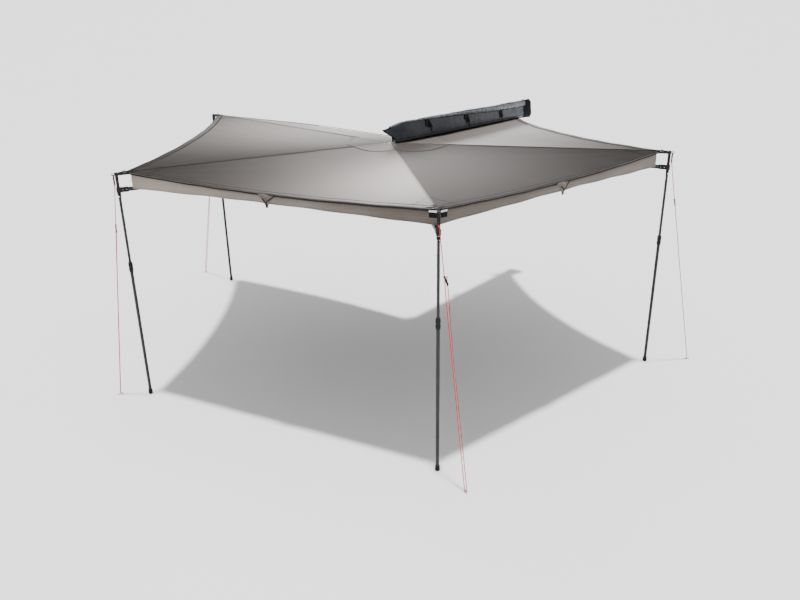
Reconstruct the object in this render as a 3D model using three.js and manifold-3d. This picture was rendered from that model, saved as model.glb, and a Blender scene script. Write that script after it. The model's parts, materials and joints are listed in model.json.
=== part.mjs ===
// A side awning for a roof rack, standing open. Four arms share one king pin at the rear end of a rail
// and fan out round the corner of the vehicle. Each arm is a beam with a rafter above it, joined at the
// tip by a bracket that carries a folding, telescoping leg and a guy rope. Four fabric panels span the
// fan, and the empty storage bag stands along the rail.
//
// Millimetres, +Z up, X along the rail towards the front of the vehicle, Y towards the vehicle.
// The pieces are drawn from the king pin's axis at ground level. The finished group is then moved so
// that its origin lies under the foot of the middle rack bracket, where the awning is held.

import * as THREE from 'three';
import { mergeVertices } from 'three/addons/utils/BufferGeometryUtils.js';
import Module from 'manifold-3d';

// Fits
const CLEARANCE = 0.3; // between pieces that touch
const SLIDING_GAP = 0.4; // round a tube that slides in another
const OVERRUN = 3; // how far a cutter passes a face
const WELD = 0.0001; // vertices this near are one

// Facets
const ROUND_SIDES = 20;
const SMALL_SIDES = 12;
const CORD_SIDES = 8;
const ARC_STEPS = 4; // a quarter of a round edge
const KNOT_SIDES = 8;
const KNOT_RINGS = 6;
const PANEL_COLUMNS = 12;
const PANEL_ROWS = 8;
const VALANCE_COLUMNS = 12;
const FLAP_COLUMNS = 3;
const FLAP_ROWS = 8;
const BAG_COLUMNS = 16;
const NORMAL_STEP_SHARE = 1 / 2; // of a face, how far off a sheet's direction is felt out

// The open awning: distances from the king pin and heights above the ground
const CANOPY_RADIUS = 2450; // to a corner of the canopy
const LEG_REACH = 80; // from a corner on to its leg
const CANOPY_CORNER_HEIGHT = 2018;
const CANOPY_APEX_HEIGHT = 1974;
const BEAM_TIP_DROP = 128; // the rafter's axis to the beam's middle at the leg
const ARM_ANGLES = [67.4, 132, 199.6, 267]; // degrees clockwise from the rail, seen from above

// Rail, rack brackets and end caps
const RAIL_START = 45;
const RAIL_LENGTH = 2275;
const RAIL_DEPTH = 24;
const RAIL_HEIGHT = 66;
const RAIL_WALL = 2.5;
const RAIL_CHAMFER = 2;
const RAIL_FRONT = 22; // the king pin to the rail's outer face
const RAIL_DROP = 3; // the canopy's apex to the rail's top
const CAP_THICKNESS = 3;
const CAP_PLUG = 14;
const BRACKET_WIDTH = 60;
const BRACKET_THICKNESS = 6;
const BRACKET_FOOT = 66; // from the plate's back to the foot's end
const BRACKET_INSET = 300; // a rail end to the nearest bracket's middle
const BRACKET_GUSSET = 34;
const SLOT_WIDTH = 9;
const SLOT_LENGTH = 26;
const SLOT_SPACING = 34;
const BRACKET_HOLE = 8.5;
const BRACKET_HOLE_SPACING = 34;

// Hub clevis and king pin
const PIN_DIAMETER = 20;
const PIN_HEAD = 34;
const PIN_HEAD_HEIGHT = 11;
const CLEVIS_PLATE = 12;
const CLEVIS_DIAMETER = 54;
const CLEVIS_REACH = 190;
const CLEVIS_WEB = 9;
const CLEVIS_TAPER = 18; // the plate's width at its far end
const CLEVIS_RIB = 8;
const CLEVIS_RIB_DEPTH = 22;
const CLEVIS_RIB_INSET = 12;

// Arm: knuckle, beam and rafter
const BARREL_HEIGHT = 44.4;
const BARREL_DIAMETER = 44;
const BEAM_WIDTH = 20;
const BEAM_HEIGHT = 30;
const BEAM_WALL = 1.8;
const KNUCKLE_REACH = 75;
const TONGUE_LENGTH = 45;
const RAFTER_DIAMETER = 22;
const RAFTER_WALL = 1.5;
const RAFTER_START = 770;
const STRUT_WIDTH = 16;
const STRUT_LENGTH = 26;
const SADDLE_LENGTH = 46;
const SADDLE_WALL = 2.6;
const SADDLE_GRIP = 12; // how far the saddle reaches down the beam's sides

// Tip bracket
const POST_DIAMETER = 24;
const POST_TOP = 12; // above the rafter's axis
const PLUG_LENGTH = 36;
const SLEEVE_LENGTH = 64;
const SLEEVE_WALL = 3;
const BOSS_DIAMETER = 36;
const BOSS_HEIGHT = 40;
const HINGE_DROP = 40; // the beam's middle to the leg's hinge
const HINGE_PIN = 8;
const HINGE_HEAD = 13;
const HINGE_HEAD_HEIGHT = 3;
const CHEEK_WIDTH = 26;
const CHEEK_THICKNESS = 5;
const EAR_LENGTH = 25;
const EAR_HEIGHT = 19;
const EAR_THICKNESS = 3;
const EAR_BAR = 4;

// Leg
const EYE_WIDTH = 24;
const EYE_THICKNESS = 13;
const EYE_DROP = 20; // the hinge to the tube's top
const NECK_LENGTH = 14;
const INNER_DIAMETER = 22;
const INNER_WALL = 1.5;
const INNER_BOTTOM = 950;
const OUTER_DIAMETER = 27;
const OUTER_TOP = 1214;
const LOCK_DIAMETER = 35;
const LOCK_WAIST = 31;
const LOCK_BELOW = 42; // how far the twist lock reaches below and above the outer tube's top
const LOCK_ABOVE = 44;
const LOCK_COLLAR = 12;
const FOOT_DIAMETER = 38;
const FOOT_TOP_DIAMETER = 33;
const FOOT_HEIGHT = 46;
const FOOT_FLOOR = 12;
const FOOT_ROUND = 6;

// Canopy
const FABRIC = 2.5;
const APEX_GAP = 14; // the king pin's axis to the panels' inner ends
const SEAM_GAP = 1; // an arm's middle to the panel beside it
const RAIL_CORNER_INSET = 70; // the rail's front end to the front panel's corner
const RAIL_CORNER_HEIGHT = 1905;
const REAR_EDGE_BOW = 125; // how far the curved outer edges bow inwards
const FRONT_EDGE_BOW = 195;
const HEM_SAG = 38;
const PANEL_SAG = 22;
const VALANCE_DROP = 112;
const VALANCE_INSET = 20; // a corner to the valance's end, along the hem
const TAB_WIDTH = 70;
const TAB_DROP = 34;
const CLIP_WIDTH = 16;
const CLIP_HEIGHT = 22;
const CLIP_THICKNESS = 6;
const FLAP_START = 190;
const FLAP_WIDTH = 300;
const FLAP_TIP_WIDTH = 55;
const FLAP_LAP = 6;

// Storage bag and its straps
const BAG_CLOTH = 3;
const BAG_OUTER = 100; // the king pin to the bag's outer face
const BAG_LIFT = 9; // above the canopy
const BAG_HEIGHT = 183;
const BAG_END_RISE = 27; // how much taller the bag is at its front end
const BAG_END_FLARE = 30; // how far the front end bulges outwards
const BAG_END_LENGTH = 180;
const BAG_BACK_HEIGHT = 64;
const BAG_BACK_INSET = 12; // the rail's outer face to the bag's back wall
const BAG_CORNER = 22;
const BAG_TIP_REACH = 140; // the bag's rear tip behind the king pin
// how far forward each line of the section starts, as a share from the bag's tip to its floor's start
const BAG_START_SHARES = [1, 1, 1, 1, 0.75, 0.7, 0.65, 0.4, 0];
const BAG_FLOOR_START = 70;
const BAG_NOSE_END = 100; // where the narrowing of the bag's rear end stops
const BAG_NOSE_TUCK = 70; // how far the outer wall comes in at the tip
const BAG_NOSE_DROP = 55; // how much lower the tip is
const STRAP_REAR_INSET = 385; // a rail end to the nearest strap
const STRAP_FRONT_INSET = 600;
const STRAP_COUNT = 3;
const STRAP_WIDTH = 38;
const STRAP_THICKNESS = 2.5;
const STRAP_OUTER = 84;
const STRAP_INNER = 52;
const STRAP_TOP_GAP = 1.6;

// Guy ropes, their webbing loops, sliders and pegs
const ROPE_DIAMETER = 6;
const WEBBING_WIDTH = 12;
const WEBBING_THICKNESS = 1.6;
const WEBBING_LENGTH = 70;
const KNOT_DIAMETER = 16;
const KNOT_HEIGHT = 24;
const END_KNOT_DIAMETER = 12;
const STRAND_GAP = 17; // between the two strands at the slider
const SLIDER_WIDTH = 18;
const SLIDER_THICKNESS = 12;
const SLIDER_FALL = 52; // how much lower the slider's second hole is
const PEG_DIAMETER = 8;
const PEG_DEPTH = 190;
const PEG_LEAN = 30;
const HOOK_REACH = 24;
const HOOK_HEIGHT = 11.4;
const HOOK_BEND = 6;
const LOOP_HEIGHT = 12; // the middle of the rope's loop at the peg
const PEG_REACH = [387, 302, 237, 494]; // each peg past its leg
const PEG_SIDE = [148, 153, -130, -11]; // and to the side of its arm

// The rope's route: share of the way from its knot down to the peg, then sideways and down in mm.
// It runs down through the slider, round the peg's hook and back up to the slider's other hole.
const ROPE_ROUTE = [
  [0, 0, 0], [0.06, 0, 0], [0.13, 0, 0], [0.165, 0, 0], [0.2, -1, 0], [0.26, -4, 0], [0.36, -5, 0],
  [0.48, -5, 0], [0.6, -6, 0], [0.72, -7, 0], [0.84, -8, 0], [0.94, -8, 0], [0.985, -8, 0], [1, -8, 0],
  [1, -5.7, 5.7], [1, 0, 8], [1, 5.7, 5.7], [1, 8, 0], [0.985, 8, 0], [0.94, 8, 0], [0.84, 8, 0],
  [0.72, 8, 0], [0.6, 7, 0], [0.48, 6, 0], [0.38, 8, 0], [0.3, 13, 0], [0.24, 16.5, 0], [0.2, 17, 0],
  [0.178, 17, 0],
];
const SLIDER_SHARE = 0.178; // of the way down, to the slider's upper hole

// Sizes that follow from those above
const tipRadius = CANOPY_RADIUS + LEG_REACH;
const railTop = CANOPY_APEX_HEIGHT - RAIL_DROP;
const railBottom = railTop - RAIL_HEIGHT;
const railMiddle = (railTop + railBottom) / 2;
const railBack = RAIL_FRONT + RAIL_DEPTH;
const railEnd = RAIL_START + RAIL_LENGTH;
const pinHeadTop = CANOPY_APEX_HEIGHT - FABRIC - 2 * CLEARANCE;
const clevisTop = pinHeadTop - PIN_HEAD_HEIGHT - CLEARANCE;
const barrelPitch = BARREL_HEIGHT + CLEARANCE;
const topLevel = clevisTop - CLEVIS_PLATE - CLEARANCE - BARREL_HEIGHT / 2;
const levels = ARM_ANGLES.map((_, i) => topLevel - i * barrelPitch);
const stackBottom = levels.at(-1) - BARREL_HEIGHT / 2 - CLEARANCE;
const ridgeSlope = Math.atan2(CANOPY_CORNER_HEIGHT - CANOPY_APEX_HEIGHT, CANOPY_RADIUS);
const rafterDrop = FABRIC + CLEARANCE + RAFTER_DIAMETER / 2;
const rafterTip = ridgeHeight(tipRadius) - rafterDrop;
const beamTip = rafterTip - BEAM_TIP_DROP;
const postTop = rafterTip + POST_TOP;
const hingeHeight = beamTip - HINGE_DROP;
const earRadius = tipRadius + POST_DIAMETER / 2 + EAR_LENGTH / 2;
const earBottom = postTop - EAR_HEIGHT;
const knotHeight = earBottom - WEBBING_LENGTH;
const bracketMiddles = [RAIL_START + BRACKET_INSET, RAIL_START + RAIL_LENGTH / 2, railEnd - BRACKET_INSET];
const railCornerReach = railEnd - RAIL_CORNER_INSET;
const strapPitch = (RAIL_LENGTH - STRAP_REAR_INSET - STRAP_FRONT_INSET) / (STRAP_COUNT - 1);
const footMiddle = railBack + CLEARANCE + BRACKET_THICKNESS + (BRACKET_FOOT - BRACKET_THICKNESS) / 2;

const colours = {
  metal: new THREE.MeshStandardMaterial({ color: 0x1b1e22, roughness: 0.45, metalness: 0.6 }),
  plastic: new THREE.MeshStandardMaterial({ color: 0x17181a, roughness: 0.6, metalness: 0 }),
  canvas: new THREE.MeshStandardMaterial({ color: 0x8b8279, roughness: 0.85, metalness: 0 }),
  bag: new THREE.MeshStandardMaterial({ color: 0x3f4750, roughness: 0.5, metalness: 0 }),
  webbing: new THREE.MeshStandardMaterial({ color: 0x141517, roughness: 0.9, metalness: 0 }),
  rope: new THREE.MeshStandardMaterial({ color: 0xe8604f, roughness: 0.8, metalness: 0 }),
  steel: new THREE.MeshStandardMaterial({ color: 0x9a9da1, roughness: 0.35, metalness: 0.9 }),
};

const wasm = await Module();
wasm.setup();

function ridgeHeight(radius) {
  return CANOPY_APEX_HEIGHT + radius * Math.tan(ridgeSlope);
}

function beamSlope(level) {
  return Math.atan2(level - beamTip, tipRadius);
}

// Geometry helpers

function volumeOf(position, index) {
  const [a, b, c] = [new THREE.Vector3(), new THREE.Vector3(), new THREE.Vector3()];
  let sum = 0;
  for (let i = 0; i < index.length; i += 3) {
    a.fromBufferAttribute(position, index[i]);
    b.fromBufferAttribute(position, index[i + 1]);
    c.fromBufferAttribute(position, index[i + 2]);
    sum += a.dot(b.cross(c));
  }
  return sum;
}

// The geometry with shared vertices, without collapsed triangles and with its faces pointing out
function welded(geometry) {
  const bare = geometry.clone();
  bare.deleteAttribute('normal');
  bare.deleteAttribute('uv');
  const merged = mergeVertices(bare, WELD);
  const index = [];
  for (let i = 0; i < merged.index.count; i += 3) {
    const [a, b, c] = [0, 1, 2].map((k) => merged.index.getX(i + k));
    if (a !== b && b !== c && c !== a) index.push(a, b, c);
  }
  if (volumeOf(merged.attributes.position, index) < 0) index.reverse();
  merged.setIndex(index);
  return merged;
}

function solidOf(geometry) {
  const shape = welded(geometry);
  return new wasm.Manifold(new wasm.Mesh({
    numProp: 3,
    vertProperties: new Float32Array(shape.attributes.position.array),
    triVerts: new Uint32Array(shape.index.array),
  }));
}

function geometryOf(solid) {
  const mesh = solid.getMesh();
  const geometry = new THREE.BufferGeometry();
  geometry.setAttribute('position', new THREE.BufferAttribute(new Float32Array(mesh.vertProperties), 3));
  geometry.setIndex(Array.from(mesh.triVerts));
  return geometry;
}

function join(...geometries) {
  return geometryOf(geometries.map(solidOf).reduce((whole, next) => whole.add(next)));
}

function cut(geometry, ...cutters) {
  return geometryOf(cutters.map(solidOf).reduce((whole, next) => whole.subtract(next), solidOf(geometry)));
}

function block([x0, x1], [y0, y1], [z0, z1]) {
  const geometry = new THREE.BoxGeometry(x1 - x0, y1 - y0, z1 - z0);
  return geometry.translate((x0 + x1) / 2, (y0 + y1) / 2, (z0 + z1) / 2);
}

function around(half) {
  return [-half, half];
}

// A round bar from one height to another
function rod(diameter, bottom, top, sides = ROUND_SIDES) {
  const geometry = new THREE.CylinderGeometry(diameter / 2, diameter / 2, top - bottom, sides);
  return geometry.rotateX(Math.PI / 2).translate(0, 0, (bottom + top) / 2);
}

function alongX(geometry) {
  return geometry.rotateY(Math.PI / 2);
}

function alongY(geometry) {
  return geometry.rotateX(Math.PI / 2);
}

function pipe(diameter, bore, bottom, top, sides = ROUND_SIDES) {
  const ring = new THREE.Shape().absarc(0, 0, diameter / 2, 0, 2 * Math.PI);
  ring.holes.push(new THREE.Path().absarc(0, 0, bore / 2, 0, 2 * Math.PI));
  const options = { depth: top - bottom, bevelEnabled: false, curveSegments: sides / 2 };
  return new THREE.ExtrudeGeometry(ring, options).translate(0, 0, bottom);
}

// A closed profile of [radius, height] points turned about Z
function revolve(profile, sides = ROUND_SIDES) {
  const points = [...profile, profile[0]].map(([r, z]) => new THREE.Vector2(r, z));
  return new THREE.LatheGeometry(points, sides).rotateX(Math.PI / 2);
}

function outline(points) {
  return new THREE.Shape(points.map(([x, y]) => new THREE.Vector2(x, y)));
}

// An outline in X and Y, extruded from one height to another
function slab(points, bottom, top) {
  const options = { depth: top - bottom, bevelEnabled: false };
  return new THREE.ExtrudeGeometry(outline(points), options).translate(0, 0, bottom);
}

// A shape drawn in Y and Z, extruded along X
function extrudeX(shape, from, to) {
  const options = { depth: to - from, bevelEnabled: false, curveSegments: ARC_STEPS };
  const turn = new THREE.Matrix4().set(0, 0, 1, from, 1, 0, 0, 0, 0, 1, 0, 0, 0, 0, 0, 1);
  return new THREE.ExtrudeGeometry(shape, options).applyMatrix4(turn);
}

// A shape drawn in X and Z, extruded along Y
function extrudeY(shape, from, to) {
  const options = { depth: to - from, bevelEnabled: false, curveSegments: ARC_STEPS };
  const turn = new THREE.Matrix4().set(1, 0, 0, 0, 0, 0, 1, from, 0, 1, 0, 0, 0, 0, 0, 1);
  return new THREE.ExtrudeGeometry(shape, options).applyMatrix4(turn);
}

function rectangle([x0, x1], [y0, y1]) {
  return [[x0, y0], [x1, y0], [x1, y1], [x0, y1]];
}

// A surface at(u, v) given as a Vector3, made into a closed sheet that hangs below or behind it
function sheet(at, columns, rows, thickness) {
  const step = NORMAL_STEP_SHARE / Math.max(columns, rows);
  const vertices = [];
  for (const side of [0, 1]) {
    for (let i = 0; i <= columns; i += 1) {
      for (let j = 0; j <= rows; j += 1) {
        const [u, v] = [i / columns, j / rows];
        const alongU = at(Math.min(u + step, 1), v).sub(at(Math.max(u - step, 0), v));
        const alongV = at(u, Math.min(v + step, 1)).sub(at(u, Math.max(v - step, 0)));
        const normal = alongU.cross(alongV).normalize();
        vertices.push(...at(u, v).addScaledVector(normal, -side * thickness));
      }
    }
  }
  const layer = (columns + 1) * (rows + 1);
  const corner = (i, j, side) => side * layer + i * (rows + 1) + j;
  const index = [];
  const quad = (a, b, c, d) => index.push(a, b, c, a, c, d);
  for (let i = 0; i < columns; i += 1) {
    for (let j = 0; j < rows; j += 1) {
      quad(corner(i, j, 0), corner(i + 1, j, 0), corner(i + 1, j + 1, 0), corner(i, j + 1, 0));
      quad(corner(i, j, 1), corner(i, j + 1, 1), corner(i + 1, j + 1, 1), corner(i + 1, j, 1));
    }
    quad(corner(i, 0, 1), corner(i + 1, 0, 1), corner(i + 1, 0, 0), corner(i, 0, 0));
    quad(corner(i, rows, 0), corner(i + 1, rows, 0), corner(i + 1, rows, 1), corner(i, rows, 1));
  }
  for (let j = 0; j < rows; j += 1) {
    quad(corner(0, j, 0), corner(0, j + 1, 0), corner(0, j + 1, 1), corner(0, j, 1));
    quad(corner(columns, j, 1), corner(columns, j + 1, 1), corner(columns, j + 1, 0), corner(columns, j, 0));
  }
  const geometry = new THREE.BufferGeometry();
  geometry.setAttribute('position', new THREE.BufferAttribute(new Float32Array(vertices), 3));
  geometry.setIndex(index);
  return welded(geometry);
}

// A curve whose steps fall evenly between its points, so that short bends keep their steps
class PointPacedCurve extends THREE.CatmullRomCurve3 {
  getPointAt(share, target) {
    return this.getPoint(share, target);
  }

  getTangentAt(share, target) {
    return this.getTangent(share, target);
  }
}

function cord(points, diameter, stepsPerPoint = 1) {
  const curve = new PointPacedCurve(points, false, 'centripetal');
  const section = new THREE.Shape().absarc(0, 0, diameter / 2, 0, 2 * Math.PI);
  const steps = (points.length - 1) * stepsPerPoint;
  return new THREE.ExtrudeGeometry(section, { steps, extrudePath: curve, curveSegments: CORD_SIDES / 2 });
}

const awning = new THREE.Group();
const fromKingPin = new THREE.Group();
fromKingPin.position.set(-bracketMiddles[1], -footMiddle, -railBottom);
awning.add(fromKingPin);

function addPiece(name, geometry, material, parent = fromKingPin) {
  const mesh = new THREE.Mesh(welded(geometry), material);
  mesh.name = name;
  parent.add(mesh);
}

// Rail

function railOutline() {
  const [y0, y1, z0, z1] = [RAIL_FRONT, railBack, railBottom, railTop];
  const c = RAIL_CHAMFER;
  return outline([
    [y0 + c, z0], [y1 - c, z0], [y1, z0 + c], [y1, z1 - c],
    [y1 - c, z1], [y0 + c, z1], [y0, z1 - c], [y0, z0 + c],
  ]);
}

// The two cells of the extrusion, shrunk by a margin for what plugs into them
function railCells(margin) {
  const across = [RAIL_FRONT + RAIL_WALL + margin, railBack - RAIL_WALL - margin];
  const lower = [railBottom + RAIL_WALL + margin, railMiddle - RAIL_WALL / 2 - margin];
  const upper = [railMiddle + RAIL_WALL / 2 + margin, railTop - RAIL_WALL - margin];
  return [lower, upper].map((height) => rectangle(across, height));
}

function rail() {
  const shape = railOutline();
  for (const cell of railCells(0)) shape.holes.push(new THREE.Path(outline(cell).getPoints()));
  return extrudeX(shape, RAIL_START, railEnd);
}

// An end cap with a plug in each cell. The end is -1 at the rear and 1 at the front.
function railCap(end) {
  const face = end < 0 ? RAIL_START - CLEARANCE : railEnd + CLEARANCE;
  const plate = [face, face + end * CAP_THICKNESS].sort((a, b) => a - b);
  const plug = [face + (end * CAP_THICKNESS) / 2, face - end * CAP_PLUG].sort((a, b) => a - b);
  const plugs = railCells(CLEARANCE).map((cell) => extrudeX(outline(cell), ...plug));
  return join(extrudeX(railOutline(), ...plate), ...plugs);
}

// An angle bracket with a gusset, bolted to the rail's back. Its slotted foot lies on the rack.
function rackBracket(middle) {
  const [y0, y1] = [railBack + CLEARANCE, railBack + CLEARANCE + BRACKET_FOOT];
  const [z0, z1] = [railBottom, railTop];
  const t = BRACKET_THICKNESS;
  const angle = outline([[y0, z0], [y1, z0], [y1, z0 + t], [y0 + t, z0 + t], [y0 + t, z1], [y0, z1]]);
  const g = BRACKET_GUSSET;
  const gusset = outline([[y0 + t / 2, z0 + t / 2], [y0 + t + g, z0 + t / 2], [y0 + t / 2, z0 + t + g]]);
  const body = join(
    extrudeX(angle, middle - BRACKET_WIDTH / 2, middle + BRACKET_WIDTH / 2),
    extrudeX(gusset, middle - t / 2, middle + t / 2),
  );
  const cutters = [];
  for (const side of [-1, 1]) {
    const slot = middle + (side * SLOT_SPACING) / 2;
    const width = around(SLOT_WIDTH / 2).map((x) => slot + x);
    const length = around(SLOT_LENGTH / 2).map((y) => footMiddle + t + y);
    cutters.push(block(width, length, [z0 - OVERRUN, z0 + t + OVERRUN]));
    const hole = alongY(rod(BRACKET_HOLE, -t - OVERRUN, t + OVERRUN, SMALL_SIDES));
    cutters.push(hole.translate(middle + (side * BRACKET_HOLE_SPACING) / 2, y0, railMiddle + t));
  }
  return cut(body, ...cutters);
}

addPiece('rail', rail(), colours.metal);
addPiece('rail_cap_rear', railCap(-1), colours.plastic);
addPiece('rail_cap_front', railCap(1), colours.plastic);
bracketMiddles.forEach((middle, i) => addPiece(`rack_bracket_${i + 1}`, rackBracket(middle), colours.metal));

// Hub

function hubClevis() {
  const back = RAIL_FRONT - CLEARANCE;
  const bottom = stackBottom - CLEVIS_PLATE;
  const plan = [
    [0, -CLEVIS_DIAMETER / 2], [CLEVIS_REACH, back - CLEVIS_TAPER], [CLEVIS_REACH, back], [0, back],
  ];
  const webStart = RAIL_START + CAP_THICKNESS;
  const pieces = [[bottom, stackBottom], [clevisTop - CLEVIS_PLATE, clevisTop]].flatMap(([z0, z1]) => [
    slab(plan, z0, z1),
    rod(CLEVIS_DIAMETER, z0, z1),
  ]);
  pieces.push(block([webStart, CLEVIS_REACH], [back - CLEVIS_WEB, back], [bottom, clevisTop]));
  for (const x of [webStart + CLEVIS_RIB_INSET, CLEVIS_REACH - CLEVIS_RIB_INSET - CLEVIS_RIB]) {
    const rib = outline([
      [back - CLEVIS_WEB / 2, bottom], [back, bottom],
      [back + CLEVIS_RIB_DEPTH, railBottom - CLEARANCE], [back - CLEVIS_WEB / 2, railBottom - CLEARANCE],
    ]);
    pieces.push(extrudeX(rib, x, x + CLEVIS_RIB));
  }
  const bore = rod(PIN_DIAMETER + 2 * CLEARANCE, bottom - OVERRUN, clevisTop + OVERRUN);
  return cut(join(...pieces), bore);
}

function kingPin() {
  const [r, head] = [PIN_DIAMETER / 2, PIN_HEAD / 2];
  const top = clevisTop + CLEARANCE;
  const bottom = stackBottom - CLEVIS_PLATE - CLEARANCE;
  return revolve([
    [0, bottom - PIN_HEAD_HEIGHT], [head, bottom - PIN_HEAD_HEIGHT], [head, bottom], [r, bottom],
    [r, top], [head, top], [head, pinHeadTop], [0, pinHeadTop],
  ]);
}

addPiece('hub_clevis', hubClevis(), colours.metal);
addPiece('king_pin', kingPin(), colours.steel);

// Arms. Each is drawn with X outwards from the king pin and heights above the ground.

// Moves a piece drawn along a beam from the king pin onto the beam's slope
function ontoBeam(geometry, level) {
  return geometry.rotateY(beamSlope(level)).translate(0, 0, level);
}

// Moves a piece drawn along the rafter, back from the leg, onto the rafter's slope
function ontoRafter(geometry) {
  return geometry.rotateY(-ridgeSlope).translate(tipRadius, 0, rafterTip);
}

function beamLength(level) {
  return tipRadius / Math.cos(beamSlope(level));
}

function beamEnd(level) {
  return beamLength(level) - POST_DIAMETER / 2 - 2 * CLEARANCE;
}

function knuckle(level) {
  const half = [BEAM_WIDTH / 2, BEAM_HEIGHT / 2];
  const fit = BEAM_WALL + CLEARANCE;
  const stem = block([0, KNUCKLE_REACH], around(half[0]), around(half[1]));
  const tongueEnd = KNUCKLE_REACH + TONGUE_LENGTH;
  const tongue = block([0, tongueEnd], around(half[0] - fit), around(half[1] - fit));
  const barrel = rod(BARREL_DIAMETER, level - BARREL_HEIGHT / 2, level + BARREL_HEIGHT / 2);
  const bore = rod(PIN_DIAMETER + 2 * CLEARANCE, level - BARREL_HEIGHT, level + BARREL_HEIGHT);
  return cut(join(barrel, ontoBeam(stem, level), ontoBeam(tongue, level)), bore);
}

function beam(level) {
  const half = [BEAM_WIDTH / 2, BEAM_HEIGHT / 2];
  const shape = outline(rectangle(around(half[0]), around(half[1])));
  const bore = rectangle(around(half[0] - BEAM_WALL), around(half[1] - BEAM_WALL));
  shape.holes.push(new THREE.Path(outline(bore).getPoints()));
  return ontoBeam(extrudeX(shape, KNUCKLE_REACH + CLEARANCE, beamEnd(level)), level);
}

// The tube under the canopy's ridge, with the strut and saddle that stand it on the beam
function rafter(level) {
  const bore = RAFTER_DIAMETER - 2 * RAFTER_WALL;
  const start = (RAFTER_START - tipRadius) / Math.cos(ridgeSlope);
  const end = -POST_DIAMETER / 2 - CLEARANCE;
  const tube = ontoRafter(alongX(pipe(RAFTER_DIAMETER, bore, start, end)));
  const stopper = ontoRafter(alongX(rod(RAFTER_DIAMETER, start, start + STRUT_LENGTH)));
  const axis = ridgeHeight(RAFTER_START) - rafterDrop;
  const beamMiddle = level - RAFTER_START * Math.tan(beamSlope(level));
  const saddleTop = beamMiddle + BEAM_HEIGHT / 2 + SADDLE_WALL + CLEARANCE;
  const saddleBottom = beamMiddle + BEAM_HEIGHT / 2 - SADDLE_GRIP;
  const width = BEAM_WIDTH / 2 + CLEARANCE + SADDLE_WALL;
  const strutReach = [RAFTER_START, RAFTER_START + STRUT_LENGTH];
  const strut = block(strutReach, around(STRUT_WIDTH / 2), [saddleTop, axis]);
  const foot = [saddleBottom, saddleTop + SADDLE_WALL / 2];
  const saddle = block([RAFTER_START, RAFTER_START + SADDLE_LENGTH], around(width), foot);
  const room = block(
    [KNUCKLE_REACH, beamEnd(level)],
    around(BEAM_WIDTH / 2 + CLEARANCE),
    around(BEAM_HEIGHT / 2 + CLEARANCE),
  );
  return cut(join(tube, stopper, strut, saddle), ontoBeam(room, level));
}

// The upright at the arm's end: a post with a plug for the rafter, a sleeve for the beam, an ear for
// the guy rope's webbing, and two cheeks with the pin that the leg hinges on
function tipBracket(level) {
  const postRadius = POST_DIAMETER / 2;
  const post = rod(POST_DIAMETER, beamTip, postTop).translate(tipRadius, 0, 0);
  const plugDiameter = RAFTER_DIAMETER - 2 * RAFTER_WALL - 2 * CLEARANCE;
  const plug = ontoRafter(alongX(rod(plugDiameter, -postRadius - PLUG_LENGTH, 0)));
  const boss = rod(BOSS_DIAMETER, beamTip - BOSS_HEIGHT / 2, beamTip + BOSS_HEIGHT / 2);
  const grip = SLEEVE_WALL + CLEARANCE;
  const length = beamLength(level);
  const sleeve = block(
    [length - postRadius - SLEEVE_LENGTH, length],
    around(BEAM_WIDTH / 2 + grip),
    around(BEAM_HEIGHT / 2 + grip),
  );
  const room = block(
    [length - postRadius - SLEEVE_LENGTH - OVERRUN, length - postRadius + CLEARANCE],
    around(BEAM_WIDTH / 2 + CLEARANCE),
    around(BEAM_HEIGHT / 2 + CLEARANCE),
  );
  const inside = EYE_THICKNESS / 2 + CLEARANCE;
  const outside = inside + CHEEK_THICKNESS;
  const cheek = new THREE.Shape().moveTo(tipRadius + CHEEK_WIDTH / 2, beamTip - BOSS_HEIGHT / 4);
  cheek.lineTo(tipRadius - CHEEK_WIDTH / 2, beamTip - BOSS_HEIGHT / 4);
  cheek.absarc(tipRadius, hingeHeight, CHEEK_WIDTH / 2, Math.PI, 2 * Math.PI);
  const cheeks = [extrudeY(cheek, inside, outside), extrudeY(cheek, -outside, -inside)];
  const pinEnd = outside + HINGE_HEAD_HEIGHT;
  const pin = alongY(rod(HINGE_PIN, -outside, outside, SMALL_SIDES)).translate(tipRadius, 0, hingeHeight);
  const heads = [[outside - CLEARANCE, pinEnd], [-pinEnd, CLEARANCE - outside]].map(([from, to]) =>
    alongY(rod(HINGE_HEAD, from, to, SMALL_SIDES)).translate(tipRadius, 0, hingeHeight));
  const earEnd = tipRadius + postRadius + EAR_LENGTH;
  const ear = block([tipRadius, earEnd], around(EAR_THICKNESS / 2), [earBottom, postTop]);
  const slot = block(
    [tipRadius + postRadius + EAR_BAR, earEnd - EAR_BAR],
    around(EAR_THICKNESS),
    [earBottom + EAR_BAR, postTop - EAR_BAR],
  );
  const lump = join(boss.translate(tipRadius, 0, 0), ontoBeam(sleeve, level), ...cheeks);
  const body = cut(lump, ontoBeam(room, level));
  return cut(join(body, post, plug, pin, ...heads, ear), slot);
}

// Leg

function innerTube() {
  const tubeTop = hingeHeight - EYE_DROP;
  const eye = new THREE.Shape().moveTo(EYE_WIDTH / 2, tubeTop - NECK_LENGTH / 2);
  eye.absarc(0, hingeHeight, EYE_WIDTH / 2, 0, Math.PI);
  eye.lineTo(-EYE_WIDTH / 2, tubeTop - NECK_LENGTH / 2);
  const tube = pipe(INNER_DIAMETER, INNER_DIAMETER - 2 * INNER_WALL, INNER_BOTTOM, tubeTop - NECK_LENGTH / 2);
  const neck = rod(INNER_DIAMETER, tubeTop - NECK_LENGTH, tubeTop);
  const hole = alongY(rod(HINGE_PIN + 2 * CLEARANCE, -EYE_THICKNESS, EYE_THICKNESS, SMALL_SIDES));
  const whole = join(extrudeY(eye, -EYE_THICKNESS / 2, EYE_THICKNESS / 2), neck, tube);
  return cut(whole, hole.translate(0, 0, hingeHeight)).translate(tipRadius, 0, 0);
}

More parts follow.
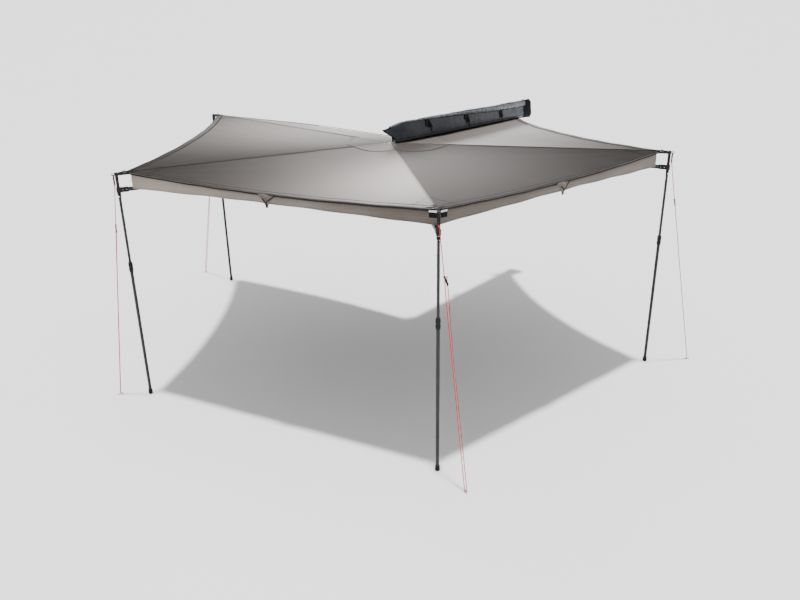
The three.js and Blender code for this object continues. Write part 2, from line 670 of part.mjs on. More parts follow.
function outerTube() {
  const bore = INNER_DIAMETER + 2 * SLIDING_GAP;
  return pipe(OUTER_DIAMETER, bore, FOOT_FLOOR + CLEARANCE, OUTER_TOP).translate(tipRadius, 0, 0);
}

// The collar that turns to lock the leg's length
function twistLock() {
  const [outer, waist] = [LOCK_DIAMETER / 2, LOCK_WAIST / 2];
  const seat = OUTER_DIAMETER / 2 + SLIDING_GAP;
  const throat = INNER_DIAMETER / 2 + SLIDING_GAP;
  const [bottom, top] = [OUTER_TOP - LOCK_BELOW, OUTER_TOP + LOCK_ABOVE];
  return revolve([
    [seat, bottom], [waist, bottom], [outer, bottom + LOCK_COLLAR], [outer, OUTER_TOP - LOCK_COLLAR / 2],
    [waist, OUTER_TOP], [outer, OUTER_TOP + LOCK_COLLAR / 2], [outer, top - LOCK_COLLAR], [waist, top],
    [throat, top], [throat, OUTER_TOP + CLEARANCE], [seat, OUTER_TOP + CLEARANCE],
  ]).translate(tipRadius, 0, 0);
}

function foot() {
  const [outer, top] = [FOOT_DIAMETER / 2, FOOT_TOP_DIAMETER / 2];
  const cup = OUTER_DIAMETER / 2 + SLIDING_GAP;
  return revolve([
    [0, 0], [outer - FOOT_ROUND, 0], [outer, FOOT_ROUND], [outer, FOOT_FLOOR + FOOT_ROUND],
    [top, FOOT_HEIGHT], [cup, FOOT_HEIGHT], [cup, FOOT_FLOOR], [0, FOOT_FLOOR],
  ]).translate(tipRadius, 0, 0);
}

// Guy rope

function ropePoint(arm, share, side, down) {
  const x = THREE.MathUtils.lerp(earRadius, tipRadius + PEG_REACH[arm], share);
  const y = THREE.MathUtils.lerp(0, PEG_SIDE[arm], share) + side;
  const z = THREE.MathUtils.lerp(knotHeight, LOOP_HEIGHT, share) - down;
  return new THREE.Vector3(x, y, z);
}

function knot(diameter, height, at) {
  const lump = new THREE.SphereGeometry(diameter / 2, KNOT_SIDES, KNOT_RINGS).rotateX(Math.PI / 2);
  return lump.scale(1, 1, height / diameter).translate(at.x, at.y, at.z);
}

// The webbing loop through the ear, the knot under it, the rope and its end knot
function guyRope(arm) {
  const gap = EAR_THICKNESS / 2 + CLEARANCE;
  const thick = gap + WEBBING_THICKNESS;
  const bend = earBottom + EAR_BAR + CLEARANCE;
  const loop = new THREE.Shape().moveTo(thick, knotHeight);
  loop.absarc(0, bend, thick, 0, Math.PI);
  loop.lineTo(-thick, knotHeight);
  loop.lineTo(-gap, knotHeight);
  loop.absarc(0, bend, gap, Math.PI, 0, true);
  loop.lineTo(gap, knotHeight);
  const webbing = extrudeX(loop, earRadius - WEBBING_WIDTH / 2, earRadius + WEBBING_WIDTH / 2);
  const line = cord(ROPE_ROUTE.map((place) => ropePoint(arm, ...place)), ROPE_DIAMETER);
  const top = knot(KNOT_DIAMETER, KNOT_HEIGHT, ropePoint(arm, 0, 0, 0));
  const last = ROPE_ROUTE.at(-1);
  const end = knot(END_KNOT_DIAMETER, END_KNOT_DIAMETER, ropePoint(arm, ...last));
  return join(webbing, top, line, end);
}

// A bar with a hole for each strand, set aslant between them
function ropeSlider(arm) {
  const upper = ropePoint(arm, SLIDER_SHARE, 0, 0);
  const fallShare = SLIDER_FALL / (knotHeight - LOOP_HEIGHT);
  const lower = ropePoint(arm, SLIDER_SHARE + fallShare, STRAND_GAP, 0);
  const [outward, sideways, fall] = [lower.x - upper.x, lower.y - upper.y, upper.z - lower.z];
  const half = SLIDER_WIDTH / 2;
  const bar = new THREE.Shape().absarc(0, 0, half, 0, Math.PI);
  bar.absarc(0, -upper.distanceTo(lower), half, Math.PI, 2 * Math.PI);
  const whole = extrudeX(bar, -SLIDER_THICKNESS / 2, SLIDER_THICKNESS / 2);
  whole.rotateX(Math.atan2(sideways, Math.hypot(outward, fall))).rotateY(-Math.atan2(outward, fall));
  const room = ROPE_DIAMETER + 2 * SLIDING_GAP;
  const strands = cord(ROPE_ROUTE.map((place) => ropePoint(arm, ...place)), room);
  const last = ropePoint(arm, ...ROPE_ROUTE.at(-1));
  const recess = END_KNOT_DIAMETER + 2 * SLIDING_GAP;
  const seat = knot(recess, recess, last);
  return cut(whole.translate(upper.x, upper.y, upper.z), strands, seat);
}

// A bent steel peg, driven in up to its hook
function peg(arm) {
  const at = ropePoint(arm, 1, 0, 0);
  const [z, r] = [HOOK_HEIGHT, HOOK_BEND];
  const points = [
    [HOOK_REACH / 2 + r, PEG_DIAMETER / 2], [HOOK_REACH / 2 + r, z - r / 2], [HOOK_REACH / 2, z], [0, z],
    [-HOOK_REACH / 2, z], [-HOOK_REACH / 2 - r, z - r], [-HOOK_REACH / 2 - r - PEG_LEAN / 2, -PEG_DEPTH / 2],
    [-HOOK_REACH / 2 - r - PEG_LEAN, -PEG_DEPTH],
  ];
  return cord(points.map(([x, height]) => new THREE.Vector3(at.x + x, at.y, height)), PEG_DIAMETER, 2);
}

levels.forEach((level, i) => {
  const arm = new THREE.Group();
  arm.rotation.z = -THREE.MathUtils.degToRad(ARM_ANGLES[i]);
  fromKingPin.add(arm);
  const pieces = {
    arm_knuckle: [knuckle(level), colours.metal],
    arm_beam: [beam(level), colours.metal],
    arm_rafter: [rafter(level), colours.metal],
    tip_bracket: [tipBracket(level), colours.plastic],
    leg_inner_tube: [innerTube(), colours.metal],
    leg_outer_tube: [outerTube(), colours.metal],
    leg_twist_lock: [twistLock(), colours.plastic],
    leg_foot: [foot(), colours.plastic],
    guy_rope: [guyRope(i), colours.rope],
    rope_slider: [ropeSlider(i), colours.plastic],
    ground_peg: [peg(i), colours.steel],
  };
  for (const [name, [geometry, material]] of Object.entries(pieces)) {
    addPiece(`${name}_${i + 1}`, geometry, material, arm);
  }
});

// Canopy

function outwards(angle) {
  const turn = THREE.MathUtils.degToRad(angle);
  return new THREE.Vector3(Math.cos(turn), -Math.sin(turn), 0);
}

// A place on an arm's ridge line, moved sideways to one side of the seam
function ridgePoint(angle, radius, sideways) {
  const out = outwards(angle);
  const side = new THREE.Vector3(-out.y, out.x, 0);
  return out.multiplyScalar(radius).addScaledVector(side, sideways).setZ(ridgeHeight(radius));
}

const railCorner = new THREE.Vector3(railCornerReach, RAIL_FRONT - SEAM_GAP, RAIL_CORNER_HEIGHT);
const railApex = new THREE.Vector3(APEX_GAP, 0, CANOPY_APEX_HEIGHT);

// A panel's two side lines, each from near the apex to a corner, and the bow and sag of its hem
const panels = ARM_ANGLES.map((angle, i) => {
  const near = [ridgePoint(angle, APEX_GAP, SEAM_GAP), ridgePoint(angle, CANOPY_RADIUS, SEAM_GAP)];
  if (i === 0) return { from: [railApex, railCorner], to: near, bow: FRONT_EDGE_BOW, sag: 0 };
  const before = ARM_ANGLES[i - 1];
  const from = [ridgePoint(before, APEX_GAP, -SEAM_GAP), ridgePoint(before, CANOPY_RADIUS, -SEAM_GAP)];
  const isLast = i === ARM_ANGLES.length - 1;
  return { from, to: near, bow: isLast ? REAR_EDGE_BOW : 0, sag: isLast ? 0 : HEM_SAG };
});

// 0 at both ends and 1 in the middle
function arch(share) {
  return 1 - (1 - 2 * share) ** 2;
}

function hemPoint(panel, u) {
  const point = panel.from[1].clone().lerp(panel.to[1], u);
  const inwards = panel.from[1].clone().add(panel.to[1]).setZ(0).normalize();
  return point.addScaledVector(inwards, -panel.bow * arch(u)).setZ(point.z - panel.sag * arch(u));
}

function panelPoint(panel, u, v) {
  const inner = panel.from[0].clone().lerp(panel.to[0], u);
  const point = inner.lerp(hemPoint(panel, u), v);
  return point.setZ(point.z - PANEL_SAG * arch(u) * arch(v));
}

function panelSheet(panel) {
  return sheet((u, v) => panelPoint(panel, u, v), PANEL_COLUMNS, PANEL_ROWS, FABRIC);
}

// The strip that hangs under a straight hem, with the tab and clip at its middle
function valance(panel) {
  const span = panel.from[1].distanceTo(panel.to[1]);
  const inset = VALANCE_INSET / span;
  const outer = (w) => inset + w * (1 - 2 * inset);
  const level = panel.from[1].z - FABRIC - VALANCE_DROP;
  const strip = sheet((w, v) => {
    const top = hemPoint(panel, outer(w));
    return top.setZ(THREE.MathUtils.lerp(top.z - FABRIC / 2, level, v));
  }, VALANCE_COLUMNS, 1, FABRIC);
  const middle = hemPoint(panel, 1 / 2);
  const lap = TAB_DROP / 2;
  const tab = outline([[-TAB_WIDTH / 2, lap], [TAB_WIDTH / 2, lap], [0, -TAB_DROP]]);
  const flap = extrudeY(tab, -FABRIC, 0);
  const hang = [-TAB_DROP - CLIP_HEIGHT / 2, -TAB_DROP / 2];
  const clip = block(around(CLIP_WIDTH / 2), around(CLIP_THICKNESS / 2), hang);
  const along = panel.to[1].clone().sub(panel.from[1]);
  const turn = Math.atan2(along.y, along.x);
  const hung = [flap, clip].map((piece) => piece.rotateZ(turn).translate(middle.x, middle.y, level));
  return [strip, ...hung];
}

// The strip of the last panel that reaches past its arm towards the vehicle
function rearFlap() {
  const angle = ARM_ANGLES.at(-1);
  return sheet((u, v) => {
    const radius = THREE.MathUtils.lerp(FLAP_START, CANOPY_RADIUS, v);
    const width = THREE.MathUtils.lerp(FLAP_WIDTH, FLAP_TIP_WIDTH, v * v);
    return ridgePoint(angle, radius, THREE.MathUtils.lerp(FLAP_LAP + SEAM_GAP, -width, u));
  }, FLAP_COLUMNS, FLAP_ROWS, FABRIC);
}

panels.forEach((panel, i) => {
  const parts = [panelSheet(panel)];
  if (panel.sag > 0) parts.push(...valance(panel));
  if (i === panels.length - 1) parts.push(rearFlap());
  addPiece(`canopy_panel_${i + 1}`, parts.length > 1 ? join(...parts) : parts[0], colours.canvas);
});

// Storage bag: an open trough whose outer wall stands along the canopy's edge

function canopyEdgeHeight(x) {
  const share = Math.max(x, 0) / railCornerReach;
  return THREE.MathUtils.lerp(CANOPY_APEX_HEIGHT, RAIL_CORNER_HEIGHT, share);
}

function bagSwell(x) {
  return THREE.MathUtils.smoothstep(x, railEnd - BAG_END_LENGTH, railEnd);
}

// 1 at the bag's rear tip, falling to 0 where the bag has its full section
function bagNose(x) {
  return 1 - THREE.MathUtils.smoothstep(x, -BAG_TIP_REACH, BAG_NOSE_END);
}

function bagBottom(x) {
  return canopyEdgeHeight(x) + BAG_LIFT;
}

function bagTop(x) {
  return bagBottom(x) + BAG_HEIGHT + BAG_END_RISE * bagSwell(x) - BAG_NOSE_DROP * bagNose(x);
}

// The trough's section as [y, z] points, from the top of its back wall to the top of its outer wall
function bagSection(x) {
  const back = RAIL_FRONT + BAG_BACK_INSET;
  const seat = railTop + CLEARANCE;
  const outer = -BAG_OUTER - BAG_END_FLARE * bagSwell(x) + BAG_NOSE_TUCK * bagNose(x);
  const [low, top] = [bagBottom(x), bagTop(x)];
  const c = BAG_CORNER;
  return [
    [back, seat + BAG_BACK_HEIGHT], [back, seat + c / 2], [back - c / 2, seat], [RAIL_FRONT - c / 2, seat],
    [outer + c, low], [outer + c / 4, low + c / 4], [outer, low + c], [outer, (low + top) / 2], [outer, top],
  ];
}

function bagSurface(u, v) {
  const last = BAG_START_SHARES.length - 1;
  const k = Math.min(Math.floor(v * last), last - 1);
  const t = v * last - k;
  const startShare = THREE.MathUtils.lerp(BAG_START_SHARES[k], BAG_START_SHARES[k + 1], t);
  const start = THREE.MathUtils.lerp(-BAG_TIP_REACH, BAG_FLOOR_START, startShare);
  const x = THREE.MathUtils.lerp(start, railEnd, u);
  const section = bagSection(x);
  const y = THREE.MathUtils.lerp(section[k][0], section[k + 1][0], t);
  const z = THREE.MathUtils.lerp(section[k][1], section[k + 1][1], t);
  return new THREE.Vector3(x, y, z);
}

function storageBag() {
  const trough = sheet(bagSurface, BAG_COLUMNS, BAG_START_SHARES.length - 1, BAG_CLOTH);
  const end = extrudeX(outline(bagSection(railEnd)), railEnd - BAG_CLOTH, railEnd);
  return join(trough, end);
}

function bagStrap(x) {
  const top = Math.max(bagTop(x - STRAP_WIDTH / 2), bagTop(x + STRAP_WIDTH / 2)) + STRAP_TOP_GAP;
  const outer = -BAG_OUTER - CLEARANCE;
  const inner = -BAG_OUTER + BAG_CLOTH + CLEARANCE;
  const t = STRAP_THICKNESS;
  const profile = outline([
    [outer, top - STRAP_OUTER], [outer, top], [inner, top], [inner, top - STRAP_INNER],
    [inner + t, top - STRAP_INNER], [inner + t, top + t / 2], [inner + t / 2, top + t],
    [outer - t / 2, top + t], [outer - t, top + t / 2], [outer - t, top - STRAP_OUTER],
  ]);
  return extrudeX(profile, x - STRAP_WIDTH / 2, x + STRAP_WIDTH / 2);
}

addPiece('storage_bag', storageBag(), colours.bag);
for (let i = 0; i < STRAP_COUNT; i += 1) {
  const place = RAIL_START + STRAP_REAR_INSET + i * strapPitch;
  addPiece(`bag_strap_${i + 1}`, bagStrap(place), colours.webbing);
}

export default awning;
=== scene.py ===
"""The looks of a side awning for a roof rack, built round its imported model. Lengths are metres.

Places are given from the king pin's axis at ground level, as in the part's source, and the function
placed() moves them to the model's frame. An arm's own axes are: outwards from the king pin, to its left
seen from above looking outwards, and up.
"""

import json
import math

import bmesh
import bpy
from mathutils import Matrix, Vector, noise


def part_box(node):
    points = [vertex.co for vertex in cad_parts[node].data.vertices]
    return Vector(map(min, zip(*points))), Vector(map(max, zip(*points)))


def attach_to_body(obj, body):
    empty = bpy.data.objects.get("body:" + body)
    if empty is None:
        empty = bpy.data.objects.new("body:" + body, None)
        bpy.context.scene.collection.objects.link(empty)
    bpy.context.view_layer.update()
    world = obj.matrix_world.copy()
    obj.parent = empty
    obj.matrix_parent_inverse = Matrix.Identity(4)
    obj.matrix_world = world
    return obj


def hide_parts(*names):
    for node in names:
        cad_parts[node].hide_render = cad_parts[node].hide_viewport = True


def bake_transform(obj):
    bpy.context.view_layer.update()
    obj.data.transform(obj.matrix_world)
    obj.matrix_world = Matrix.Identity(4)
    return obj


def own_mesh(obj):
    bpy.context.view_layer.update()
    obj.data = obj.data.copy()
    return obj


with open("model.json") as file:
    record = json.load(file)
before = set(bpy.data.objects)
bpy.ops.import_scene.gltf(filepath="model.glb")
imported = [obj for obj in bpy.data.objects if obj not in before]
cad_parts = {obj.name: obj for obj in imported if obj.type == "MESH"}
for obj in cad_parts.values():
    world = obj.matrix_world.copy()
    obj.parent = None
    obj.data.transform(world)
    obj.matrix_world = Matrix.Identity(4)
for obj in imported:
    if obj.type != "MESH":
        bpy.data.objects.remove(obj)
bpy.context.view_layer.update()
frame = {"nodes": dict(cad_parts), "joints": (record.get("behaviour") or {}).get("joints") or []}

# The photograph's camera: its place from the king pin, its angles and its lens
IMAGE_WIDTH = 800
CAMERA_PLACE = (-5.60, -4.87, 3.46)
CAMERA_PITCH = math.radians(22.93)
CAMERA_YAW = math.radians(40.48)
CAMERA_ROLL = math.radians(0.90)
FOCAL_PIXELS = 777.3
SENSOR_WIDTH = 36
CENTRE_DROP = 2.1  # pixels
CLIP_END = 2000

# Sizes of the awning, as in the part's source
CANOPY_RADIUS = 2.45
CORNER_HEIGHT = 2.018
APEX_HEIGHT = 1.974
APEX_GAP = 0.014
SEAM_GAP = 0.001
RAIL_CORNER = (2.25, 0.021, 1.905)
REAR_EDGE_BOW = 0.125
FRONT_EDGE_BOW = 0.195
HEM_SAG = 0.038
PANEL_SAG = 0.022
CLOTH = 0.0025
VALANCE_DROP = 0.112
ROPE_DIAMETER = 0.006

# A rope's route: share of the way from its knot down to the peg, then sideways and down in mm
ROPE_ROUTE = [
    (0, 0, 0), (0.06, 0, 0), (0.13, 0, 0), (0.165, 0, 0), (0.2, -1, 0), (0.26, -4, 0), (0.36, -5, 0),
    (0.48, -5, 0), (0.6, -6, 0), (0.72, -7, 0), (0.84, -8, 0), (0.94, -8, 0), (0.985, -8, 0), (1, -8, 0),
    (1, -5.7, 5.7), (1, 0, 8), (1, 5.7, 5.7), (1, 8, 0), (0.985, 8, 0), (0.94, 8, 0), (0.84, 8, 0),
    (0.72, 8, 0), (0.6, 7, 0), (0.48, 6, 0), (0.38, 8, 0), (0.3, 13, 0), (0.24, 16.5, 0), (0.2, 17, 0),
    (0.178, 17, 0),
]
MM = 0.001

UP = Vector((0, 0, 1))
ARMS = range(1, 5)
FRONT_ARM = 2  # at the corner where the two straight hems meet
LAST_ARM = 4


def middle(node):
    low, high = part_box(node)
    return (Vector(low) + Vector(high)) / 2


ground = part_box("leg_foot_1")[0][2]
pin = middle("king_pin")
ORIGIN = Vector((pin.x, pin.y, ground))
leg_hinges = {j["child"]: Vector(j["pos_m"]) - ORIGIN for j in frame["joints"] if j["name"].endswith("fold")}
ANGLES = {k: -math.atan2(leg_hinges[f"leg_{k}"].y, leg_hinges[f"leg_{k}"].x) % math.tau for k in ARMS}
TIP_RADIUS = leg_hinges["leg_1"].xy.length


def placed(point):
    """A point given from the king pin's axis at ground level, in the model's frame."""
    return Vector(point) + ORIGIN


def outwards(k):
    return Vector((math.cos(ANGLES[k]), -math.sin(ANGLES[k]), 0))


def leftwards(k):
    return UP.cross(outwards(k))


def on_arm(k, out, left, up):
    """A point given in arm k's own axes."""
    return placed(outwards(k) * out + leftwards(k) * left + UP * up)


def mix(a, b, t):
    return a + (b - a) * t


def arch(share):
    return 4 * share * (1 - share)


def smooth(t):
    t = min(max(t, 0), 1)
    return t * t * (3 - 2 * t)


def wrinkle(x, y, z):
    """A smooth random height between -1 and 1, always the same at the same place."""
    return noise.noise(Vector((x, y, z)))


def spread(steps, start=0, end=1):
    """Numbers at even steps from start to end."""
    return [mix(start, end, i / steps) for i in range(steps + 1)]


def evenly(a, b, count):
    return [Vector(a).lerp(Vector(b), i / (count - 1)) for i in range(count)]


def shifted(points, offset):
    return [point + offset for point in points]


def between(outer, inner, share):
    """The line that lies a share of the way from one line to another."""
    return [a.lerp(b, share) for a, b in zip(outer, inner)]


def differences(outer, inner):
    return [a - b for a, b in zip(outer, inner)]


def direction_at(points, i):
    after, before = points[min(i + 1, len(points) - 1)], points[max(i - 1, 0)]
    return (Vector(after) - Vector(before)).normalized()


def put(name, data):
    """A new object in the scene."""
    thing = bpy.data.objects.new(name, data)
    bpy.context.collection.objects.link(thing)
    return thing


def attach(piece, body):
    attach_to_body(piece, body)


# Camera


def make_camera():
    data = bpy.data.cameras.new("camera")
    data.sensor_width = SENSOR_WIDTH
    data.lens = SENSOR_WIDTH * FOCAL_PIXELS / IMAGE_WIDTH
    data.shift_y = CENTRE_DROP / IMAGE_WIDTH
    data.clip_end = CLIP_END
    level = math.cos(CAMERA_PITCH)
    forward = Vector((math.cos(CAMERA_YAW) * level, math.sin(CAMERA_YAW) * level, -math.sin(CAMERA_PITCH)))
    flat = Vector((math.sin(CAMERA_YAW), -math.cos(CAMERA_YAW), 0))
    above = flat.cross(forward)
    right = flat * math.cos(CAMERA_ROLL) - above * math.sin(CAMERA_ROLL)
    up = flat * math.sin(CAMERA_ROLL) + above * math.cos(CAMERA_ROLL)
    turn = Matrix((right, up, -forward)).transposed().to_4x4()
    turn.translation = placed(CAMERA_PLACE)
    camera = put("camera", data)
    camera.matrix_world = turn
    bpy.context.scene.camera = camera


make_camera()


# Nodes and materials

# The attribute that holds painted light and shade, which toned materials multiply into their colour
TONE = "tone"
THREAD = 0.0016  # pitch of the woven threads
RIPSTOP = 0.008  # pitch of the grid of thicker threads
MIX_FACTOR, MIX_A, MIX_B, MIX_RESULT = 0, 6, 7, 2  # a colour mix node's sockets


def feed(tree, node, inputs):
    """Sets a node's inputs, each from a number, a colour or another node's output."""
    for key, value in inputs.items():
        if isinstance(value, bpy.types.NodeSocket):
            tree.links.new(value, node.inputs[key])
        else:
            node.inputs[key].default_value = value


def output_of(tree, kind, output, inputs=None, **settings):
    """An output of a new node."""
    node = tree.nodes.new(kind)
    for name, value in settings.items():
        setattr(node, name, value)
    feed(tree, node, inputs or {})
    return node.outputs[output]


def ramp(tree, factor, stops):
    """The factor turned into a colour or a grey value. stops are (place, colour or value)."""
    node = tree.nodes.new("ShaderNodeValToRGB")
    elements = node.color_ramp.elements
    while len(elements) < len(stops):
        elements.new(0.5)
    for element, (place, colour) in zip(elements, stops):
        element.position = place
        element.color = (*colour, 1) if isinstance(colour, tuple) else (colour, colour, colour, 1)
    feed(tree, node, {"Fac": factor})
    return node.outputs["Color"]


def blend(tree, factor, a, b, kind="MIX"):
    inputs = {MIX_FACTOR: factor, MIX_A: a, MIX_B: b}
    return output_of(tree, "ShaderNodeMix", MIX_RESULT, inputs, data_type="RGBA", blend_type=kind)


def shade(colour, factor):
    return tuple(min(c * factor, 1) for c in colour)


class Look:
    """A procedural material under construction."""

    def __init__(self, name, roughness, metallic=0.0):
        self.material = bpy.data.materials.new(name)
        self.material.use_nodes = True
        self.tree = self.material.node_tree
        self.shader({"Metallic": metallic, "Roughness": roughness})
        self.place = output_of(self.tree, "ShaderNodeTexCoord", "Object")

    def shader(self, inputs):
        feed(self.tree, self.tree.nodes["Principled BSDF"], inputs)

    def noise(self, scale, detail=3.0, stretch=(1, 1, 1)):
        place = output_of(self.tree, "ShaderNodeMapping", "Vector", {"Scale": stretch, "Vector": self.place})
        inputs = {"Scale": scale, "Detail": detail, "Vector": place}
        return output_of(self.tree, "ShaderNodeTexNoise", "Fac", inputs)

    def bands(self, direction, period, distortion=0.0):
        """Light and dark bands across one direction, period apart."""
        scale = math.tau / 20 / period
        inputs = {"Scale": scale, "Distortion": distortion, "Detail Scale": 1.0, "Vector": self.place}
        return output_of(self.tree, "ShaderNodeTexWave", "Fac", inputs, bands_direction=direction)

    def tone(self):
        # The painted light and shade that toned() writes
        return output_of(self.tree, "ShaderNodeAttribute", "Color", attribute_name=TONE)

    def math(self, operation, a, b):
        return output_of(self.tree, "ShaderNodeMath", "Value", {0: a, 1: b}, operation=operation)

    def weave(self, a, b, pitch):
        """Threads that cross in two directions."""
        return self.math("MULTIPLY", self.bands(a, pitch), self.bands(b, pitch))

    def times(self, a, b):
        return blend(self.tree, 1.0, a, b, "MULTIPLY")

    def patchy(self, scale, detail, *stops, stretch=(1, 1, 1)):
        """Soft patches. stops are (place, colour or value)."""
        return ramp(self.tree, self.noise(scale, detail, stretch), stops)

    def mottled(self, colour, scale, detail, *stops):
        """A colour that is lighter and darker in patches. stops are (place, factor)."""
        return self.patchy(scale, detail, *((place, shade(colour, factor)) for place, factor in stops))

    def bump(self, *layers):
        """Each layer is (height, strength, depth in metres)."""
        below = {}
        for height, strength, depth in layers:
            inputs = {"Strength": strength, "Distance": depth, "Height": height, **below}
            below = {"Normal": output_of(self.tree, "ShaderNodeBump", "Normal", inputs)}
        self.shader(below)


def cloth(name, colour, pitch, roughness, sheen, contrast=0.14, gloss=0.3, ripstop=0.0, toned=False):
    """Woven cloth: threads both ways, slubs, slow shifts of tone, and a grid where ripstop is its pitch.
    Where toned, painted light and shade from the tone attribute scale its colour and the weight of a clear
    coat.
    """
    look = Look(name, roughness)
    tone = look.mottled(colour, 1.6, 4, (0.3, 1 - contrast), (0.7, 1 + contrast))
    tone = look.times(tone, look.patchy(420, 2, (0.35, 0.82), (0.65, 1.0), stretch=(1, 1, 0.3)))
    if toned:
        painted_lightness = look.tone()
        tone = look.times(tone, painted_lightness)
        # The painted light also sets the clear coat's weight: a painted sheen where the cloth is painted
        # lighter
        look.shader({"Coat Weight": look.math("MULTIPLY", painted_lightness, 0.6), "Coat Roughness": roughness})
    upright = look.math("MULTIPLY", look.bands("Z", pitch), 0.5)
    weave = look.math("ADD", look.weave("X", "Y", pitch), upright)
    layers = [(look.noise(9, 3), 0.25, 0.004), (weave, 0.35, 0.0003)]
    if ripstop:
        lines = look.math("MAXIMUM", look.bands("X", ripstop), look.bands("Y", ripstop))
        layers.append((look.math("GREATER_THAN", lines, 0.97), 0.2, 0.0002))
    look.bump(*layers)
    worn = look.patchy(30, 3, (0.2, roughness - 0.08), (0.8, roughness + 0.08))
    look.shader({"Base Color": tone, "Roughness": worn, "Sheen Weight": sheen, "Sheen Roughness": 0.4})
    look.shader({"Specular IOR Level": 0.0 if toned else gloss})
    return look.material


def coated(name, colour, roughness, toned=False, gloss=0.5):
    """Coated tarpaulin cloth: a faint woven print under a smooth skin with soft creases."""
    look = Look(name, roughness)
    tone = look.mottled(colour, 5, 5, (0.25, 0.78), (0.75, 1.25))
    tone = look.times(tone, look.patchy(60, 6, (0.45, 0.86), (0.75, 1.0), stretch=(0.4, 1, 1)))
    if toned:
        tone = look.times(tone, look.tone())
    look.bump((look.noise(7, 4, (1, 1, 2.2)), 0.5, 0.012), (look.weave("X", "Z", THREAD), 0.3, 0.0002))
    worn = look.patchy(22, 4, (0.25, roughness - 0.12), (0.75, roughness + 0.12))
    look.shader({"Base Color": tone, "Roughness": worn, "Specular IOR Level": gloss})
    return look.material


def moulded(name, colour, roughness, grain=700):
    """Moulded plastic or rubber with a fine spark-eroded grain and slight wear."""
    look = Look(name, roughness)
    tone = look.mottled(colour, 35, 5, (0.35, 0.8), (0.8, 1.35))
    look.bump((look.noise(grain, 2), 0.25, 0.0002))
    worn = look.patchy(90, 4, (0.3, roughness - 0.07), (0.7, roughness + 0.1))
    look.shader({"Base Color": tone, "Roughness": worn, "Specular IOR Level": 0.28})
    return look.material


def anodised(name, colour, roughness, along, metallic=0.55, coat=0.0):
    """Coated metal with fine drawn lines along its length, handling marks and a few bright scratches."""
    look = Look(name, roughness, metallic)
    stretch = tuple(0.04 if axis == along else 1.0 for axis in "XYZ")
    lines = look.noise(300, 3, stretch)
    scratches = look.patchy(70, 8, (0.68, 0.0), (0.72, 0.35), stretch=stretch)
    base = ramp(look.tree, lines, [(0.3, shade(colour, 0.82)), (0.7, shade(colour, 1.18))])
    bright = look.mottled(colour, 4, 2, (0.0, 2.6), (1.0, 3.4))
    look.bump((lines, 0.12, 0.0002), (look.noise(900, 2), 0.1, 0.0001))
    worn = look.patchy(14, 4, (0.3, roughness - 0.06), (0.75, roughness + 0.1))
    look.shader({"Base Color": blend(look.tree, scratches, base, bright), "Roughness": worn})
    look.shader({"Coat Weight": coat, "Coat Roughness": 0.2})
    return look.material


def plated(name, colour, roughness):
    """Zinc plated steel: a faint spangle and drawn lines."""
    look = Look(name, roughness, 0.9)
    tone = look.mottled(colour, 55, 5, (0.3, 0.8), (0.7, 1.15))
    look.bump((look.noise(400, 3), 0.15, 0.0002))
    worn = look.patchy(120, 3, (0.3, roughness - 0.1), (0.7, roughness + 0.12))
    look.shader({"Base Color": tone, "Roughness": worn})
    return look.material


def braid(name, colour, fleck):
    """Braided cord: strands crossing both ways, with a pale tracer."""
    look = Look(name, 0.75)
    strands = look.math("MULTIPLY", look.bands("DIAGONAL", 0.0032, 1.5), look.bands("Z", 0.0024, 1.0))
    tone = ramp(look.tree, strands, [(0.05, shade(colour, 0.72)), (0.5, colour)])
    tracer = look.patchy(520, 1, (0.68, 0.0), (0.74, 0.5))
    pale = look.mottled(fleck, 40, 1, (0.0, 0.9), (1.0, 1))
    look.bump((strands, 0.6, 0.0006))
    worn = look.patchy(200, 2, (0.3, 0.65), (0.7, 0.85))
    look.shader({"Base Color": blend(look.tree, tracer, tone, pale), "Roughness": worn})
    return look.material


TAUPE = (0.056, 0.0475, 0.0435)
BEIGE = (0.24, 0.205, 0.175)
SLATE = (0.046, 0.056, 0.072)
STONE = (0.15, 0.165, 0.19)
BLACK = (0.008, 0.0085, 0.010)
INK = (0.010, 0.012, 0.016)
CORAL = (0.72, 0.050, 0.045)
BLUSH = (0.9, 0.82, 0.78)
ZINC = (0.52, 0.53, 0.55)
PALE = (0.80, 0.80, 0.80)

canvas = cloth("canvas", TAUPE, THREAD, 0.55, 0.05, contrast=0.05, gloss=0.4, ripstop=RIPSTOP, toned=True)
canvas_band = cloth("canvas_band", shade(TAUPE, 0.82), THREAD, 0.55, 0.05, contrast=0.06, toned=True)
# Dark canvas for stitches and edges, also the painted shade along the hems' folds
dark_canvas_and_fold_shade = cloth("dark_canvas_and_fold_shade", shade(TAUPE, 0.6), THREAD, 0.9, 0.0, contrast=0.1, gloss=0.1)
canvas_hem = cloth("canvas_hem", shade(TAUPE, 0.6), THREAD, 0.6, 0.05, contrast=0.1, toned=True)
valance_cloth = cloth("valance_cloth", BEIGE, THREAD, 0.66, 0.12, contrast=0.06, ripstop=RIPSTOP, toned=True)
webbing = cloth("webbing", BLACK, 0.0022, 0.85, 0.06, contrast=0.25, gloss=0.12)
zip_tape = cloth("zip_tape", BLACK, 0.0012, 0.75, 0.15, contrast=0.2)
# Pale beige for stitches, also the painted highlight under the straight hems
pale_thread_and_highlight = cloth("pale_thread_and_highlight", BEIGE, 0.0014, 0.6, 0.1, contrast=0.08)
tab_cloth = cloth("tab_cloth", shade(BEIGE, 0.55), THREAD, 0.7, 0.1, contrast=0.2)
